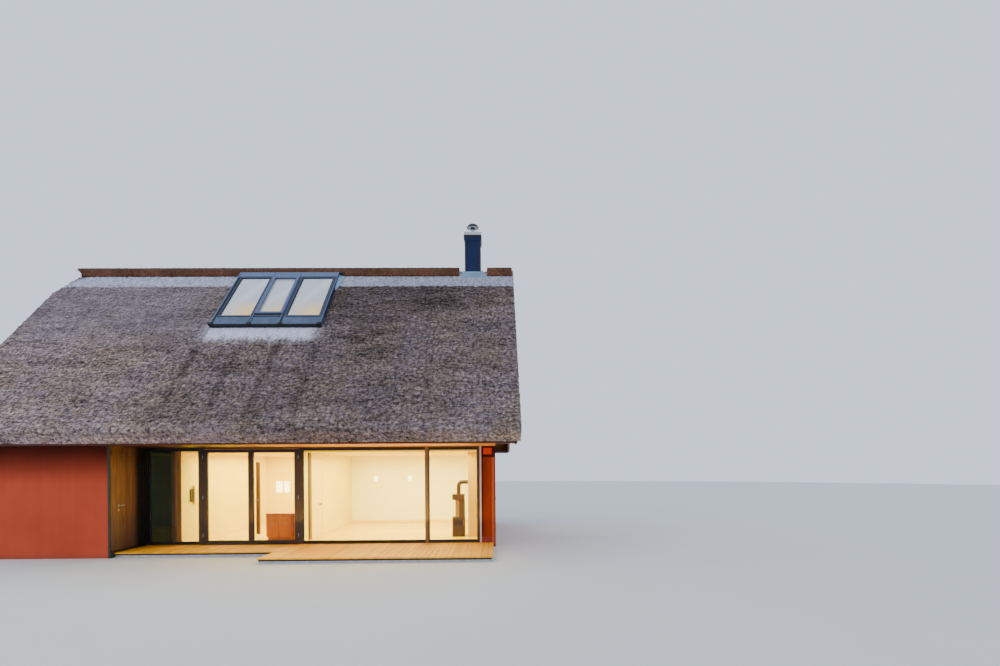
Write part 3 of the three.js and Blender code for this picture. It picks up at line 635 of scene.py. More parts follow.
def loft(bm, rings):
    """Joins rings of points of the same count with quads, and caps both ends."""
    rows = [[bm.verts.new(p) for p in ring] for ring in rings]
    for a, b in zip(rows, rows[1:]):
        for i in range(len(a)):
            j = (i + 1) % len(a)
            bm.faces.new((a[i], a[j], b[j], b[i]))
    bm.faces.new(rows[0][::-1])
    bm.faces.new(rows[-1])


def along_x(bm, profile, x0, x1):
    """A profile of (y, z) points, from x0 to x1."""
    loft(bm, [[(x, y, z) for y, z in profile] for x in (x0, x1)])


def lathe(bm, profile, centre, steps, sideways=False):
    """A closed profile of (radius, height) from axis to axis, turned about Z, or about X if sideways."""
    def spin(r, h, a):
        turned = (r * math.cos(a), r * math.sin(a))
        return Vector((h, *turned) if sideways else (*turned, h))

    angles = [2 * math.pi * i / steps for i in range(steps)]
    loft(bm, [[Vector(centre) + spin(max(r, 1e-5), h, a) for a in angles] for r, h in profile])


def tube(bm, points, radius, sides=10):
    """A round bar along points, with a radius of its own at each point where a list is given."""
    points = [Vector(p) for p in points]
    radii = radius if isinstance(radius, list) else [radius] * len(points)
    rings, up = [], Vector((0.31, 0.2, 0.93)).normalized()
    for i, p in enumerate(points):
        ahead = (points[min(i + 1, len(points) - 1)] - points[max(i - 1, 0)]).normalized()
        side = ahead.cross(up).normalized()
        across = side.cross(ahead).normalized()
        rings.append([p + (side * math.cos(a) + across * math.sin(a)) * radii[i]
                      for a in (2 * math.pi * k / sides for k in range(sides))])
    loft(bm, rings)


def slope_point(x, down, out):
    """A point on the front slope: x, the distance down from the apex, and out of the thatch."""
    return (x, -(down * COS + out * SIN), APEX_Z - down * SIN + out * COS)


def slope_boxes(*ranges):
    """A bmesh of boxes in the slope: ranges across it, down it and out of it."""
    bm = bmesh.new()
    for (x0, x1), downs, (low, high) in ranges:
        ring = [(x0, low), (x1, low), (x1, high), (x0, high)]
        loft(bm, [[slope_point(x, d, o) for x, o in ring] for d in downs])
    return bm


def make(bm, name, finish, bevel=0.0, smooth=False, segments=1):
    """Ends a bmesh as an object at the origin, with its edges eased and its faces outwards."""
    bmesh.ops.recalc_face_normals(bm, faces=bm.faces)
    if bevel:
        sharp = [e for e in bm.edges if len(e.link_faces) == 2 and e.calc_face_angle(0) > 0.6]
        bmesh.ops.bevel(bm, geom=sharp, offset=bevel, offset_type="OFFSET", segments=segments,
                        profile=0.5, affect="EDGES", clamp_overlap=True)
    bm.normal_update()
    mesh = mesh_of(bm, name)
    if smooth:
        mesh.shade_smooth()
        mesh.set_sharp_from_angle(angle=math.radians(35))
    mesh.materials.append(FINISH[finish])
    return place(name, mesh)


def fit(piece, body="root", nodes=()):
    """The piece rides on its body and stands for the nodes, which are hidden."""
    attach(piece, body)
    if nodes:
        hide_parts(*nodes)


def joined(name, pieces):
    """One object of several, with their materials kept."""
    bm = bmesh.new()
    finishes = []
    for piece in pieces:
        start = len(bm.faces)
        bm.from_mesh(piece.data)
        bm.faces.ensure_lookup_table()
        for face in bm.faces[start:]:
            material = piece.data.materials[face.material_index]
            if material not in finishes:
                finishes.append(material)
            face.material_index = finishes.index(material)
        bpy.data.objects.remove(piece)
    mesh = mesh_of(bm, name)
    for material in finishes:
        mesh.materials.append(material)
    return place(name, mesh)


# Geometry Nodes trees

def new_tree(name, **kinds):
    """A tree with named inputs of these kinds: the tree, its maker and the inputs' terms by name."""
    tree = bpy.data.node_groups.new(name, "GeometryNodeTree")
    for key, kind in kinds.items():
        tree.interface.new_socket(key, in_out="INPUT", socket_type="NodeSocket" + kind)
    tree.interface.new_socket("Geometry", in_out="OUTPUT", socket_type="NodeSocketGeometry")
    maker = Maker(tree)
    first = maker.add("NodeGroupInput", out=0)
    return tree, maker, {key: first.of(key) for key in kinds}


def close_tree(maker, geometry, given):
    """Gives each instance a number that its finish reads as its shade, and makes the instances real."""
    number = maker.add("FunctionNodeRandomValue", {"data_type": "FLOAT"},
                       {"Min": 0.0, "Max": 1.0, "Seed": given["Seed"]})
    shaded = maker.add("GeometryNodeStoreNamedAttribute", {"data_type": "FLOAT", "domain": "INSTANCE"},
                       {"Geometry": geometry, "Name": "shade", "Value": number})
    solid = maker.add("GeometryNodeRealizeInstances", values={"Geometry": shaded})
    coated = maker.add("GeometryNodeSetMaterial", values={"Geometry": solid, "Material": given["Finish"]})
    maker.add("NodeGroupOutput", values={0: coated})


def scatter_tree():
    """Reeds, stubs or sprigs on a surface: they stand on its faces and lie along one direction."""
    tree, maker, given = new_tree("scatter_on_surface", Surface="Geometry", Shape="Object",
                                  Density="Float", Lie="Vector", Turn="Vector", Smallest="Vector",
                                  Largest="Vector", Seed="Int", Finish="Material")
    points = maker.add("GeometryNodeDistributePointsOnFaces", {"distribute_method": "RANDOM"},
                       {"Mesh": given["Surface"], "Density": given["Density"], "Seed": given["Seed"]})
    stand = maker.add("FunctionNodeAlignRotationToVector", {"axis": "Z", "pivot_axis": "AUTO"},
                      {"Vector": points.of("Normal")})
    lie = maker.add("FunctionNodeAlignRotationToVector", {"axis": "Y", "pivot_axis": "Z"},
                    {"Rotation": stand, "Vector": given["Lie"]})
    against = maker.add("ShaderNodeVectorMath", {"operation": "MULTIPLY"},
                        {0: given["Turn"], 1: (-1.0, -1.0, -1.0)})
    turn = maker.add("FunctionNodeRandomValue", {"data_type": "FLOAT_VECTOR"},
                     {"Min": against, "Max": given["Turn"], "Seed": given["Seed"]})
    euler = maker.add("FunctionNodeEulerToRotation", None, {0: turn})
    turned = maker.add("FunctionNodeRotateRotation", {"rotation_space": "LOCAL"},
                       {"Rotation": lie, "Rotate By": euler})
    size = maker.add("FunctionNodeRandomValue", {"data_type": "FLOAT_VECTOR"},
                     {"Min": given["Smallest"], "Max": given["Largest"], "Seed": given["Seed"] + 1})
    shape = maker.add("GeometryNodeObjectInfo", None, {"Object": given["Shape"]}, out="Geometry")
    placed = maker.add("GeometryNodeInstanceOnPoints", None,
                       {"Points": points, "Instance": shape, "Rotation": turned, "Scale": size})
    close_tree(maker, placed, given)
    return tree


def row_tree():
    """A row of one shape, a step apart, each with its own shade."""
    tree, maker, given = new_tree("row_of_boards", Count="Int", Start="Vector", Step="Vector",
                                  Shape="Object", Seed="Int", Finish="Material")
    line = maker.add("GeometryNodeMeshLine", {"mode": "OFFSET", "count_mode": "TOTAL"},
                     {"Count": given["Count"], "Start Location": given["Start"], "Offset": given["Step"]})
    shape = maker.add("GeometryNodeObjectInfo", None, {"Object": given["Shape"]}, out="Geometry")
    placed = maker.add("GeometryNodeInstanceOnPoints", None, {"Points": line, "Instance": shape})
    close_tree(maker, placed, given)
    return tree


SCATTER = scatter_tree()
ROW = row_tree()
SHAPES = []


def grow(name, tree, host, **inputs):
    """Runs a tree on a host, which is then removed, and keeps its result as a plain mesh object."""
    modifier = host.modifiers.new("grow", "NODES")
    modifier.node_group = tree
    identifiers = {item.name: item.identifier for item in tree.interface.items_tree
                   if item.item_type == "SOCKET" and item.in_out == "INPUT"}
    for key, value in inputs.items():
        modifier[identifiers[key]] = value
    bpy.context.view_layer.update()
    graph = bpy.context.evaluated_depsgraph_get()
    mesh = bpy.data.meshes.new_from_object(host.evaluated_get(graph), depsgraph=graph)
    host.modifiers.remove(modifier)
    bpy.data.objects.remove(host)
    mesh.name = name
    return place(name, mesh)


def shape_of(bm, name, bevel=0.0):
    """A small shape that a tree repeats. It is removed after the rows are made."""
    piece = make(bm, name, "gasket", bevel)
    SHAPES.append(piece)
    piece.hide_render = True
    return piece


def skin_of(node, wanted):
    """A copy of those faces of a node that pass the test of their normal and middle."""
    bm = bmesh.new()
    bm.from_mesh(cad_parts[node].data)
    bmesh.ops.remove_doubles(bm, verts=bm.verts, dist=1e-5)
    bm.normal_update()
    extra = [f for f in bm.faces if not wanted(f.normal, f.calc_center_median())]
    bmesh.ops.delete(bm, geom=extra, context="FACES")
    return place(node + "_skin", mesh_of(bm, node + "_skin"))


def scatter(name, skin, shape, density, lie, turn, smallest, largest, seed, finish):
    fit(grow(name, SCATTER, skin, Shape=shape, Density=float(density), Lie=lie, Turn=turn, Smallest=smallest,
             Largest=largest, Seed=seed, Finish=FINISH[finish]))


def boards(name, low, high, along, count, gap, finish, seed, bevel=0.003):
    """Boards that fill the box from low to high, side by side along one axis."""
    axis = "xyz".index(along)
    pitch = (high[axis] - low[axis]) / count
    size = [h - l for l, h in zip(low, high)]
    size[axis] = pitch - gap
    start, step = list(low), [0.0, 0.0, 0.0]
    start[axis] += gap / 2
    step[axis] = pitch
    host = place(name + "_host", bpy.data.meshes.new(name + "_host"))
    board = shape_of(boxes(((0, 0, 0), size)), name + "_board", bevel)
    return grow(name, ROW, host, Count=count, Start=start, Step=step, Shape=board, Seed=seed,
                Finish=FINISH[finish])


# Camera, light and floor

def build_camera():
    """The camera of the photograph, with a rise that keeps the uprights upright."""
    focal, centre = 570.0, (502.68, 466.90)
    camera = bpy.data.cameras.new("camera")
    camera.sensor_width = 36
    camera.lens = focal * camera.sensor_width / IMAGE_WIDTH
    camera.shift_x = (IMAGE_WIDTH / 2 - centre[0]) / IMAGE_WIDTH
    camera.shift_y = (centre[1] - IMAGE_HEIGHT / 2) / IMAGE_WIDTH
    camera.clip_end = 300
    holder = place("camera", camera)
    heading, upright, roll = (Matrix.Rotation(math.radians(angle), 4, axis)
                              for angle, axis in ((-0.8226, "Z"), (90, "X"), (-0.3892, "Z")))
    holder.matrix_world = Matrix.Translation((5.366, -15.65, 1.89)) @ (heading @ upright @ roll)
    bpy.context.scene.camera = holder


def area_light(name, spot, aim, size, power, color):
    light = bpy.data.lights.new(name, "AREA")
    light.shape = "RECTANGLE"
    light.size, light.size_y = size
    light.energy, light.color = power, color
    holder = place(name, light)
    holder.location = spot
    holder.rotation_mode = "QUATERNION"
    holder.rotation_quaternion = (Vector(aim) - Vector(spot)).to_track_quat("-Z", "Y")


def build_stage():
    world = bpy.data.worlds.new("soft_sky")
    bpy.context.scene.world = world
    world.use_nodes = True
    backdrop = world.node_tree.nodes["Background"]
    backdrop.inputs["Color"].default_value = rgb((214, 226, 242))
    backdrop.inputs["Strength"].default_value = 1.45
    bm = bmesh.new()
    bmesh.ops.create_circle(bm, cap_ends=True, segments=96, radius=60)
    floor = make(bm, "stage_floor", "stage")
    floor.data.transform(Matrix.Translation((0, 0, -0.002)))
    warm = (1.0, 0.82, 0.34)
    area_light("soft_key", (-9, -16, 14), (0, -3, 3), (9, 9), 900, (1.0, 0.98, 0.95))
    area_light("living_room_lamp", (2.9, 0.6, 2.2), (2.9, 0.6, 0), (3.6, 3.4), 470, warm)
    area_light("living_room_front", (2.9, -1.4, 2.22), (2.9, -1.4, 0), (3.6, 0.8), 170, warm)
    area_light("kitchen_ceiling", (-0.7, 0.5, 2.2), (-0.7, 0.5, 0), (2.2, 4.2), 410, warm)
    area_light("loft_glow", (0, 0, 5.6), (0, 0, 3), (4, 1.4), 60, warm)
    area_light("porch_spill", (1.8, -2.35, 0.5), (1.8, -3.2, 2.4), (6.4, 0.3), 84, (1.0, 0.66, 0.14))


# Solids that keep their shape and get a finish

COATS = {
    "render": "front_wall_left back_wall gable_wall_left gable_wall_right",
    "rafters": "roof_boards_front roof_boards_back porch_beam",
    "barge": "barge_boards_left barge_boards_right",
    "thatch": "thatch_front thatch_back",
    "heather": "ridge_cap_left ridge_cap_right",
    "lead": "skylight_frame",
    "roof_glass": "skylight_pane_left skylight_pane_middle skylight_pane_right",
    "cladding": "chimney_stack",
    "concrete": "chimney_crown",
    "breast": "chimney_shaft chimney_breast",
    "corner": "corner_post",
    "frames": "glazing_sill glazing_head glazing_jamb_left glazing_post_left glazing_post_right "
              "glazing_mullion glazing_jamb_right french_door_left french_door_right",
    "clear": "french_glass_left french_glass_right pane_hall pane_large pane_end",
    "plaster": "upper_floor partition_living partition_hall",
    "floor": "ground_floor",
    "stove_pipe": "stove_flue",
}


def coat_solids():
    for finish, nodes in COATS.items():
        for node in nodes.split():
            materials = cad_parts[node].data.materials
            materials.clear()
            materials.append(FINISH[finish])


def build_wall_end():
    """Facing for the painted light on the right gable wall's end beside the glazing, with a block at its
    top.
    """
    y = GLAZING_Y
    ends = boxes(((5.056, y - 0.004, FLOOR_Z + 0.001), (WALL_X - 0.0005, y - 0.0006, SOFFIT_Z - 0.002)),
                 ((5.10, y - 0.05, 2.19), (END_STEP_X, y - 0.0045, 2.345)))
    fit(make(ends, "wall_end_facing", "wall_end", 0.001))


# Roof

def build_reeds():
    """Thatch: butts of reed bundles over both slopes, cut ends along the eaves and reeds on the verges."""
    bm = bmesh.new()
    verts = [bm.verts.new(p) for p in ((-0.4, -0.5, -0.15), (0.4, -0.5, -0.15), (-0.5, 0.45, -0.4),
                                       (0.5, 0.45, -0.4), (-0.42, 0.5, 1.0), (0.42, 0.5, 1.0))]
    for face in ((0, 1, 5, 4), (0, 2, 3, 1), (2, 4, 5, 3), (0, 4, 2), (1, 3, 5)):
        bm.faces.new([verts[i] for i in face])
    butt = shape_of(bm, "reed_butt")
    bm = bmesh.new()
    lathe(bm, [(0.9, -1.0), (1.0, 0.55), (0.7, 1.0)], (0, 0, 0), 5)
    stub = shape_of(bm, "reed_stub")
    bm = bmesh.new()
    tube(bm, [(0, -0.5, 0.0), (0, 0.5, 0.4)], [1.0, 0.8], 3)
    stalk = shape_of(bm, "reed_stalk")
    for side, word in ((-1, "front"), (1, "back")):
        node = "thatch_" + word
        out, down = Vector((0, side * SIN, COS)), Vector((0, side * COS, -SIN))
        slope = skin_of(node, lambda n, c: n.dot(out) > 0.75 and c.z < 7.19)
        scatter("thatch_reeds_" + word, slope, butt, 230, down, (0.08, 0.10, 0.3),
                (0.025, 0.03, 0.006), (0.075, 0.06, 0.013), 11 + side, "thatch")
        foot = skin_of(node, lambda n, c: n.dot(down) > 0.75 and n.dot(out) < 0.65)
        scatter("eave_reeds_" + word, foot, stub, 620, Vector((1, 0, 0)), (0.2, 0.2, 3.1),
                (0.006, 0.006, 0.008), (0.012, 0.012, 0.020), 23 + side, "reed_ends")
        for end, hand in ((-1, "left"), (1, "right")):
            face = skin_of(node, lambda n, c: n.x * end > 0.9 and abs(c.x) > VERGE_X - 0.01)
            scatter(f"verge_reeds_{word}_{hand}", face, stalk, 420, down, (0.1, 0.1, 0.12),
                    (0.005, 0.08, 0.010), (0.009, 0.17, 0.022), 37 + side + 3 * end, "reed_ends")


def build_ridge():
    """Heather along the ridge, brushed down over both sides and lying on its crest."""
    bm = bmesh.new()
    tube(bm, [(0, -0.2, -0.03), (0, 0.5, 0.07), (0, 1.0, 0.10)], [0.05, 0.045, 0.02], 3)
    sprig = shape_of(bm, "heather_sprig")
    for hand in ("left", "right"):
        node = "ridge_cap_" + hand
        skin = skin_of(node, lambda n, c: abs(n.y) > 0.55 or abs(n.x) > 0.7)
        scatter("heather_sprigs_" + hand, skin, sprig, 850, Vector((0, 0, -1)), (0.12, 0.12, 0.5),
                (0.08, 0.06, 0.03), (0.13, 0.11, 0.05), 51, "heather")
        crest = skin_of(node, lambda n, c: n.z > 0.8)
        scatter("heather_crest_" + hand, crest, sprig, 320, Vector((0, 1, 0)), (0.08, 0.08, 1.2),
                (0.08, 0.06, 0.02), (0.13, 0.11, 0.035), 57, "heather")


def build_skylight():
    """Roof light: capped joints, gaskets round the glass, a raised middle sash and an apron."""
    (x0, x1), (s0, s1), top = SKYLIGHT_X, SKYLIGHT_S, SKYLIGHT_PROUD
    (a, b), (p0, p1) = PANE_X[1], PANE_S
    gaskets = [(xs, ss, (top - 0.030, top - 0.008)) for pane in PANE_X
               for xs, ss in frame_bars(*pane, p0, p1, 0.012)]
    gaskets += [
        ((x0 - 0.02, x1 + 0.005), (s1 + 0.0003, s1 + 0.03), (0.012, top - 0.002)),
        ((x0 - 0.022, x0 - 0.001), (s0 + 0.25, s1 + 0.0003), (0.004, top - 0.02)),
        ((x0 + 0.036, x0 + 0.06), (s0 + 0.3, s1), (top + 0.001, top + 0.012)),
        ((a + 0.013, b - 0.013), (p1 - 0.062, p1 - 0.013), (top - 0.030, top - 0.004)),
    ]
    gaskets += [(xs, (p1 + 0.045, p1 + 0.07), (top + 0.001, top + 0.008))
                for xs in ((x0 + 0.075, -0.49), (-0.41, 0.285), (0.372, x1 - 0.05))]
    gaskets += [(xs, (p1 - 0.02, s1), (top + 0.001, top + 0.014))
                for xs in ((-0.448, -0.424), (0.296, 0.32))]
    gaskets += [((x - 0.05, x + 0.05), (s1 - 0.045, s1 + 0.035), (top - 0.03, top + 0.02))
                for x in (x0 + 0.02, -0.436, 0.308, x1 - 0.045)]
    gaskets.append(((x1 - 0.002, x1 + 0.075), (s0 - 0.01, s0 + 0.07), (0.02, top + 0.02)))
    fit(make(slope_boxes(*gaskets), "skylight_gaskets", "gasket", 0.002))
    caps = [(xs, (s0 + 0.02, s1 - 0.045), (top + 0.001, top + 0.022))
            for xs in ((x0 + 0.004, x0 + 0.032), (-0.422, -0.404), (0.268, 0.286), (x1 - 0.022, x1 - 0.004))]
    caps.append(((x0, x1), (s0 + 0.01, s0 + 0.24), (top + 0.001, top + 0.012)))
    caps += [(xs, ss, (top - 0.006, top + 0.03))
             for xs, ss in frame_bars(a - 0.03, b + 0.03, p0 - 0.02, p1 - 0.06, 0.06)]
    fit(make(slope_boxes(*caps), "skylight_caps", "caps", 0.003))
    bm = bmesh.new()
    loft(bm, [[slope_point(x, d, o) for x, o in ((x1 + 0.002, 0.0), (x1 + 0.002, 0.07), (x1 + w, 0.012))]
              for d, w in ((s0 + 0.06, 0.13), (0.8, 0.11), (1.25, 0.02))])
    fit(make(bm, "skylight_cheeks", "flashing"))


def build_chimney():
    """Corner trims and the dark edge of the crown, the cowl, and lead round the stack's foot."""
    x, half, lip = STACK_X, STACK_HALF, 0.23
    edge, z0, z1 = lip + 0.01, 8.115, 8.173
    bm = bmesh.new()
    for sx in (-1, 1):
        for sy in (-1, 1):
            rings = []
            for z, h in ((7.16, half), (7.985, half), (8.045, lip), (8.165, lip)):
                a, b, c = h + 0.006, h - 0.034, h - 0.004
                corner = ((a, a), (b, a), (b, c), (c, c), (c, b), (a, b))
                rings.append([(x + sx * p, sy * q, z) for p, q in corner])
            loft(bm, rings)
    block(bm, (x - edge, -edge, z0), (x + edge, -lip + 0.002, z1))
    block(bm, (x - edge, lip - 0.002, z0), (x + edge, edge, z1))
    block(bm, (x - edge, -lip, z0), (x - lip + 0.002, lip, z1))
    block(bm, (x + lip - 0.002, -lip, z0), (x + edge, lip, z1))
    fit(make(bm, "chimney_trims", "trim_black", 0.002))
    bm = bmesh.new()
    dome = [(0, 8.558), (0.02, 8.556), (0.075, 8.545), (0.118, 8.522), (0.150, 8.488), (0.165, 8.452),
            (0.160, 8.444), (0.146, 8.452), (0, 8.452)]
    lathe(bm, dome, (x, 0, 0), 32)
    lathe(bm, [(0, 8.385), (0.052, 8.385), (0.052, 8.453), (0, 8.453)], (x, 0, 0), 24)
    cowl = make(bm, "cowl_dome", "cowl", smooth=True)
    bm = bmesh.new()
    pipe = [(0, 8.2563), (0.075, 8.2563), (0.07, 8.268), (0.050, 8.275), (0.050, 8.3848), (0, 8.3848)]
    lathe(bm, pipe, (x, 0, 0), 24)
    lathe(bm, [(0.053, 8.448), (0.145, 8.448), (0.145, 8.4515), (0.053, 8.4515), (0.053, 8.448)],
          (x, 0, 0), 32)
    pale = make(bm, "cowl_pipe", "cowl_pale", smooth=True)
    fit(joined("chimney_cowl_dome", [cowl, pale]), nodes=["chimney_cowl"])
    build_flashing(x, half)


def build_flashing(x, half):
    """Lead laid over the thatch round the stack, dressed up its sides."""
    def over(y, lift):
        return min(7.2, APEX_Z - abs(y) * TAN) + lift

    reach, upstand = 0.40, 0.02
    bm = bmesh.new()
    for side in (-1, 1):
        a, b = x + side * (half + 0.002), x + side * (half + 0.07)
        section = ((a, 0.001), (b, 0.001), (b, 0.012), (a + side * 0.012, 0.014),
                   (a + side * 0.004, upstand), (a, upstand))
        loft(bm, [[(u, y, over(y, lift)) for u, lift in section]
                  for y in (-reach, -0.34, -half - 0.004, -0.164, 0, 0.164, half + 0.004, 0.34, reach)])
    for side in (-1, 1):
        near, far = side * (half + 0.003), side * reach
        profile = [(near, over(near, 0.001)), (far, over(far, 0.001)), (far, over(far, 0.012)),
                   (near + side * 0.014, over(near + side * 0.014, 0.014)),
                   (near + side * 0.004, over(near, upstand + 0.012)), (near, over(near, upstand + 0.012))]
        along_x(bm, profile, x - half - 0.001, x + half + 0.001)
    fit(make(bm, "chimney_flashing", "flashing", 0.001))


def build_soffits():
    """Boards under the eaves and over the porch, with a dark board along each eave."""
    outer = EAVE_Y - THATCH * SIN - 0.02
    for side, word in ((-1, "front"), (1, "back")):
        y0, y1 = sorted((side * (WALL_Y + GAP), side * (outer - 0.022)))
        run = boards(f"soffit_run_{word}", (-SOFFIT_X, y0, SOFFIT_Z), (SOFFIT_X, y1, SOFFIT_TOP),
                     "y", 7, 0.004, "soffit", 5)
        y0, y1 = sorted((side * outer, side * (outer - 0.0215)))
        lip = make(boxes(((-SOFFIT_X, y0, SOFFIT_Z - 0.02), (SOFFIT_X, y1, SOFFIT_TOP - 0.004))),
                   f"soffit_lip_{word}", "soffit", 0.003)
        fit(joined(f"soffit_boards_{word}", [run, lip]), nodes=[f"eave_soffit_{word}"])
    ceiling = boards("porch_ceiling_boards", (PORCH_X + GAP, -WALL_Y, SOFFIT_Z),
                     (WALL_X, GLAZING_Y - GAP, SOFFIT_TOP), "y", 11, 0.004, "soffit", 6)
    fit(ceiling, nodes=["porch_ceiling"])


# Porch

def hinge_barrels(name, y0, y1, leaf):
    """Barrels on the side door's pin, with plates from y0 to y1: the leaf's half or the wall's half."""
    bm = bmesh.new()
    for z in HINGE_Z:
        z0, z1 = (z + GAP, z + 0.04) if leaf else (z - 0.04, z)
        lathe(bm, [(0, z0), (0.0065, z0), (0.008, z0 + 0.0015), (0.008, z1 - 0.0015), (0.0065, z1), (0, z1)],
              (PORCH_X + 0.014, DOOR_Y[1], 0), 14)
        block(bm, (PORCH_X - 0.002, y0, z0), (PORCH_X + 0.010, y1, z1))
    return make(bm, name, "cowl", smooth=True)


def build_side_wall():
    """Boarded side wall of the porch, its door, and the lever handle."""
    front, back = DOOR_Y
    face = PORCH_X - 0.024

    def boarded(word, low, high, count, seed, deep=PORCH_X - SIDE_WALL + GAP, bevel=0.0):
        """Boards on the porch side of a core, between two corners of (y, z)."""
        skin = boards(word + "_skin", (face, *low), (PORCH_X, *high), "y", count, 0.003, "side_boards", seed)
        core = boxes(((deep, *low), (face - 0.0005, *high)))
        return [skin, make(core, word + "_core", "side_boards", bevel)]

    edge = ((PORCH_X + GAP, -3.385, FLOOR_Z + 0.001), (PORCH_X + 0.004, front - 0.001, SOFFIT_Z - 0.001))
    fit(make(boxes(edge), "corner_board", "side_boards", 0.001))
    over = boarded("over", (front + GAP, DOOR_TOP), (back - GAP, SOFFIT_TOP), 9, 2)
    fit(joined("side_wall_over_door_boards", over), nodes=["side_wall_over_door"])
    beside = boarded("beside", (back, FLOOR_Z + GAP), (GLAZING_Y - GAP, SOFFIT_TOP), 2, 3)
    beside.append(hinge_barrels("side_carrier_barrels", back, back + 0.035, False))
    fit(joined("side_wall_back_boards", beside), nodes=["side_wall_back"])
    leaf = boarded("door", (front + 0.005, FLOOR_Z + 0.008), (back - 0.005, DOOR_TOP - 0.005), 9, 4,
                   PORCH_X - 0.054, 0.002)
    leaf.append(hinge_barrels("side_leaf_barrels", back - 0.035, back, True))
    fit(joined("side_door_boards", leaf), "side_door", ["side_door"])
    bm = bmesh.new()
    x, y, z = PORCH_X + GAP, -3.146, 1.11
    lathe(bm, [(0, 0), (0.026, 0), (0.026, 0.006), (0.023, 0.009), (0, 0.009)], (x, y, z), 28, sideways=True)
    lever = ((0.005, 0), (0.038, 0), (0.05, 0.004), (0.055, 0.018), (0.055, 0.07), (0.052, 0.125))
    tube(bm, [(x + u, y + v, z) for u, v in lever], [0.009, 0.009, 0.009, 0.0095, 0.009, 0.008], 14)
    lock = [(0, 0), (0.024, 0), (0.024, 0.006), (0.021, 0.009), (0.009, 0.009), (0.009, 0.014), (0, 0.014)]
    lathe(bm, lock, (x, y, z - 0.10), 28, sideways=True)
    fit(make(bm, "side_door_lever", "steel", smooth=True), "side_door", ["side_door_handle"])


def build_deck():
    """Deck boards laid from front to back on a pale footing, with the step out in front."""
    split, under, back = DECK_SPLIT_X, FLOOR_Z - 0.028, GLAZING_Y - GAP
    alcove = boards("deck_alcove", (PORCH_X + GAP, -3.29, under), (split, back, FLOOR_Z), "x", 28, 0.006,
                    "deck", 7, 0.004)
    step = boards("deck_step", (split, -4.25, under), (5.334, back, FLOOR_Z), "x", 40, 0.006,
                  "deck", 8, 0.004)
    base = boxes(((PORCH_X + GAP, -3.26, 0), (split + 0.02, back, under - 0.0005)),
                 ((split + 0.02, -4.22, 0), (5.30, back, under - 0.0005)))
    footing = make(base, "deck_base", "footing", 0.003)
    fit(joined("deck_boards", [alcove, step, footing]), nodes=["deck"])


def build_glazing():
    """Beads round the fixed panes, a threshold, weather bars and the lever of the French doors."""
    y = GLAZING_Y
    beads = [((us[0], y0, zs[0]), (us[1], y1, zs[1]))
             for a, b in ((-2.7695, -1.6205), (0.8325, 3.7175), (3.8135, 4.9495))
             for y0, y1 in ((y + 0.004, y + 0.0295), (y + 0.0545, y + 0.078))
             for us, zs in frame_bars(a, b, SILL_Z + 0.0008, HEAD_Z - 0.0008, 0.006, 0.045, 0.048)]
    fit(make(boxes(*beads), "glazing_beads", "gasket", 0.003))
    bm = bmesh.new()
    along_x(bm, [(y - 0.001, 0.1005), (y - 0.045, 0.1005), (y - 0.045, 0.106), (y - 0.001, 0.120)],
            -1.54, 0.76)
    fit(make(bm, "door_threshold", "window_paint", 0.001))
    trim = boxes(((5.012, y - 0.012, 0.1005), (5.052, y - 0.001, SOFFIT_Z - 0.001)))
    fit(make(trim, "wall_trim", "white_trim", 0.003))
    for name, a, b in (("left", -1.510, -0.3975), ("right", -0.3925, 0.725)):
        bm = bmesh.new()
        along_x(bm, [(y - 0.0005, 0.150), (y - 0.022, 0.153), (y - 0.022, 0.160), (y - 0.0005, 0.182)],
                a + 0.06, b - 0.06)
        fit(make(bm, f"weather_bar_{name}", "window_paint", 0.001), f"french_{name}")
    x, y, z = -0.362, GLAZING_Y + 0.0605, 1.12
    bm = boxes(((x - 0.013, y, z - 0.075), (x + 0.013, y + 0.009, z + 0.075)))
    tube(bm, [(x, y + 0.006, z + 0.02), (x, y + 0.036, z + 0.02), (x + 0.012, y + 0.045, z + 0.02),
              (x + 0.06, y + 0.045, z + 0.018), (x + 0.11, y + 0.042, z + 0.016)], 0.008, 12)
    fit(make(bm, "french_lever", "steel", 0.001, smooth=True), "french_right")


# Windows that the photograph doesn't show

def build_window(node, outward):
    """Two casements with glass and a sill, in the space of the node. They face outwards along their axis."""
    low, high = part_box(node)
    wide = 0 if high.x - low.x > high.y - low.y else 1
    deep = 1 - wide
    face = low[deep] if outward < 0 else high[deep]
    u0, u1, z0, z1 = low[wide], high[wide], low.z, high.z
    middle, outer, sash = (u0 + u1) / 2, 0.045, 0.048

    def bar(us, zs, depths):
        """Corners of a bar, with its depths measured in from the outer face."""
        a, b = [0, 0, zs[0]], [0, 0, zs[1]]
        a[wide], b[wide] = us
        a[deep], b[deep] = sorted(face - outward * d for d in depths)
        return a, b

    bars = [bar(*ranges, (0.0, 0.07)) for ranges in frame_bars(u0, u1, z0, z1, outer)]
    bars.append(bar((middle - 0.03, middle + 0.03), (z0 + outer, z1 - outer), (0.0, 0.07)))
    c, d = z0 + outer + 0.003, z1 - outer - 0.003
    for a, b in ((u0 + outer + 0.003, middle - 0.033), (middle + 0.033, u1 - outer - 0.003)):
        bars += [bar(*ranges, (-0.006, 0.046)) for ranges in frame_bars(a, b, c, d, sash)]
        bars.append(bar((a + sash, b - sash), ((c + d) / 2 + 0.15, (c + d) / 2 + 0.172), (0.0, 0.04)))
    bars.append(bar((u0 + 0.002, u1 - 0.002), (z0 + 0.0005, z0 + 0.028), (-0.105, -0.0005)))
    casement = make(boxes(*bars), node + "_casement", "window_paint", 0.004)
    panes = [bar(us, (z0 + outer + 0.045, z1 - outer - 0.045), (0.016, 0.030))
             for us in ((u0 + outer + 0.045, middle - 0.075), (middle + 0.075, u1 - outer - 0.045))]
    glass = make(boxes(*panes), node + "_glass", "clear")
    fit(joined(node + "_casements", [casement, glass]), nodes=[node])


# Rooms

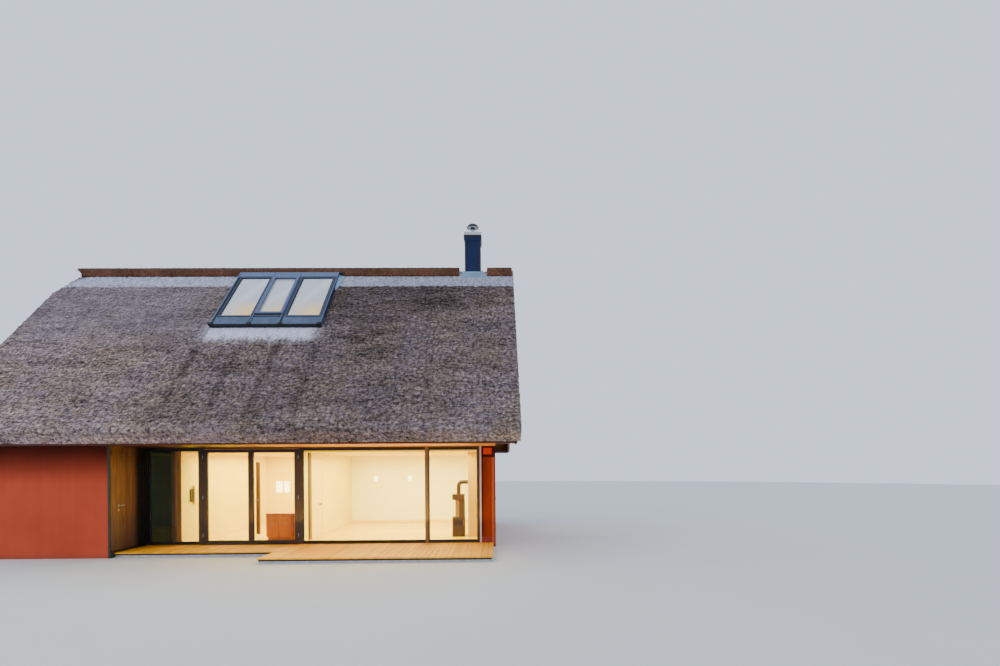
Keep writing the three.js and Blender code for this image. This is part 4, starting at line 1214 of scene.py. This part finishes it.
def build_rooms():
    """The inner door with its casing and knob, the skirtings, and the end of the hall partition."""
    x, casing, y0, y1, top, foot = LIVING_FACE_X, 0.07, -1.08, -0.20, 2.03, FLOOR_Z + 0.001
    door = boxes(((x, y0 - casing, foot), (x + 0.018, y0, top + casing)),
                 ((x, y1, foot), (x + 0.018, y1 + casing, top + casing)),
                 ((x, y0, top), (x + 0.018, y1, top + casing)),
                 ((x, y0 + 0.006, FLOOR_Z + 0.008), (x + 0.010, y1 - 0.006, top - 0.006)))
    fit(make(door, "inner_door_relief", "inner_door", 0.003))
    trim = boxes(((x, y0 - 0.24, foot), (x + 0.035, y0 - 0.0705, CEILING_Z - 0.001)))
    fit(make(trim, "partition_trim", "inner_trim", 0.003))
    bm = bmesh.new()
    knob = [(0, 0), (0.026, 0), (0.026, 0.006), (0.010, 0.009), (0.010, 0.035), (0.027, 0.042),
            (0.03, 0.058), (0.02, 0.070), (0, 0.072)]
    lathe(bm, knob, (x + 0.0101, -0.48, 0.94), 20, sideways=True)
    fit(make(bm, "inner_door_knob", "stove_iron", smooth=True))
    runs = ((x, -0.12, x + 0.012, 3.06), (0.5875, 0.3, 0.5995, 3.06),
            (HALL_FACE_X, -2.01, HALL_FACE_X + 0.012, 3.06), (0.72, 3.056, 5.05, 3.068))
    skirting = boxes(*[((a, c, foot), (b, d, FLOOR_Z + 0.08)) for a, c, b, d in runs])
    fit(make(skirting, "skirting", "inner_door", 0.003))
    end = boxes(((-2.285, -2.040, 0.172), (-2.058, -2.0205, 2.325)))
    fit(make(end, "partition_end_casing", "casing", 0.002))


def build_kitchen():
    """Counter with drawers over doors, wall lamps, a tall narrow shelf and a box on the partition."""
    low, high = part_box("kitchen_counter")
    count, front = 3, low.y + 0.010
    pitch = (high.x - low.x - 0.02) / count
    lefts = [low.x + 0.012 + k * pitch for k in range(count)]
    fronts = [((a, front, z0), (a + pitch - 0.005, low.y + 0.0295, z1)) for a in lefts
              for z0, z1 in ((low.z + 0.085, high.z - 0.19), (high.z - 0.185, high.z - 0.036))]
    bm = boxes(((low.x + 0.01, low.y + 0.03, low.z + 0.08), (high.x, high.y, high.z - 0.03)),
               ((low.x + 0.03, low.y + 0.07, low.z), (high.x, high.y, low.z + 0.08)),
               *fronts[:-2], ((low.x, low.y, high.z - 0.0295), (high.x, high.y, high.z)))
    body = make(bm, "counter_body", "cabinet", 0.003)
    end = make(boxes(*fronts[-2:]), "counter_end", "cabinet_dark", 0.003)
    bm = bmesh.new()
    for k in range(count):
        a = low.x + 0.012 + (k + 0.5) * pitch
        for z in (high.z - 0.11, high.z - 0.26):
            tube(bm, [(a + u, low.y + v, z) for u, v in ((-0.06, 0.011), (-0.06, -0.008), (0.06, -0.008),
                                                         (0.06, 0.011))], 0.004, 8)
    pulls = make(bm, "counter_pulls", "steel", smooth=True)
    fit(joined("kitchen_cabinet", [body, end, pulls]), nodes=["kitchen_counter"])
    panels = [((a, 3.035, 1.112), (b, 3.068, 1.468)) for a, b in ((-1.755, -1.557), (-1.488, -1.334))]
    sconces = [((x - 0.05, 3.0, 1.46), (x + 0.05, 3.068, 1.60)) for x in (1.485, 2.592)]
    fit(make(boxes(*panels, *sconces), "wall_lamps", "lamp", 0.012, segments=2))
    x0, x1, y0, y1, top, foot = -1.146, -1.046, 0.0, 0.05, 2.07, FLOOR_Z + 0.001
    levels = [FLOOR_Z + 0.03 + k * (top - FLOOR_Z - 0.05) / 6 for k in range(7)]
    shelf = boxes(((x0, y0, foot), (x0 + 0.016, y1, top)), ((x1 - 0.016, y0, foot), (x1, y1, top)),
                  ((x0 + 0.016, y1 - 0.012, foot), (x1 - 0.016, y1, top)),
                  *[((x0 + 0.016, y0 + 0.004, z - 0.01), (x1 - 0.016, y1 - 0.012, z + 0.01))
                    for z in levels])
    fit(make(shelf, "kitchen_shelf", "shelf", 0.002))
    box = boxes(((HALL_FACE_X, -1.53, 1.03), (-2.002, -1.135, 1.485)))
    fit(make(box, "wall_box", "inner_door", 0.006))
    plate = boxes(((HALL_FACE_X, -1.66, 1.087), (-2.032, -1.537, 1.404)))
    fit(make(plate, "wall_box_side", "window_paint", 0.004))


def build_stove():
    """A stove with a stone column over its firebox, on a plinth."""
    (x0, y0, z0), (x1, y1, z1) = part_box("stove")

    def part(name, finish, bevel, *ranges):
        """Boxes of one finish, each from its x and z ranges and its inset at the front and back."""
        bm = boxes(*[((xs[0], y0 + inset, zs[0]), (xs[1], y1 - inset, zs[1])) for xs, zs, inset in ranges])
        return make(bm, name, finish, bevel, segments=2)

    parts = [
        part("stove_body", "stove_iron", 0.008, ((x0, x1), (z0 + 0.25, 0.60), 0.02),
             ((x0, x1 - 0.01), (1.045, z1), 0.0)),
        part("stove_column", "stove_stone", 0.01, ((x0 + 0.075, x1 - 0.01), (0.6005, 1.0445), 0.04)),
        part("stove_flank", "stove_iron", 0.006, ((x1 - 0.14, x1 - 0.004), (0.6005, 1.0445), 0.034)),
        part("stove_plinth", "stove_base", 0.006, ((x0, x1), (z0, z0 + 0.2495), 0.0)),
    ]
    window = boxes(((x0 + 0.05, y0 + 0.008, z0 + 0.29), (x1 - 0.045, y0 + 0.0195, 0.56)))
    parts.append(make(window, "stove_window", "stove_glass", 0.004))
    bm = bmesh.new()
    pull = ((0.018, 0.40), (-0.01, 0.41), (-0.01, 0.51), (0.018, 0.52))
    tube(bm, [(x1 - 0.028, y0 + v, z) for v, z in pull], 0.006, 10)
    parts.append(make(bm, "stove_pull", "steel", smooth=True))
    fit(joined("wood_stove", parts), nodes=["stove"])


build_camera()
build_stage()
coat_solids()
build_wall_end()
build_reeds()
build_ridge()
build_skylight()
build_chimney()
build_soffits()
build_side_wall()
build_deck()
build_glazing()
for window_node in sorted(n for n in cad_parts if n.startswith("window_")):
    build_window(window_node, -1 if "_left_" in window_node else 1)
build_rooms()
build_kitchen()
build_stove()

for shape in SHAPES:
    bpy.data.objects.remove(shape)
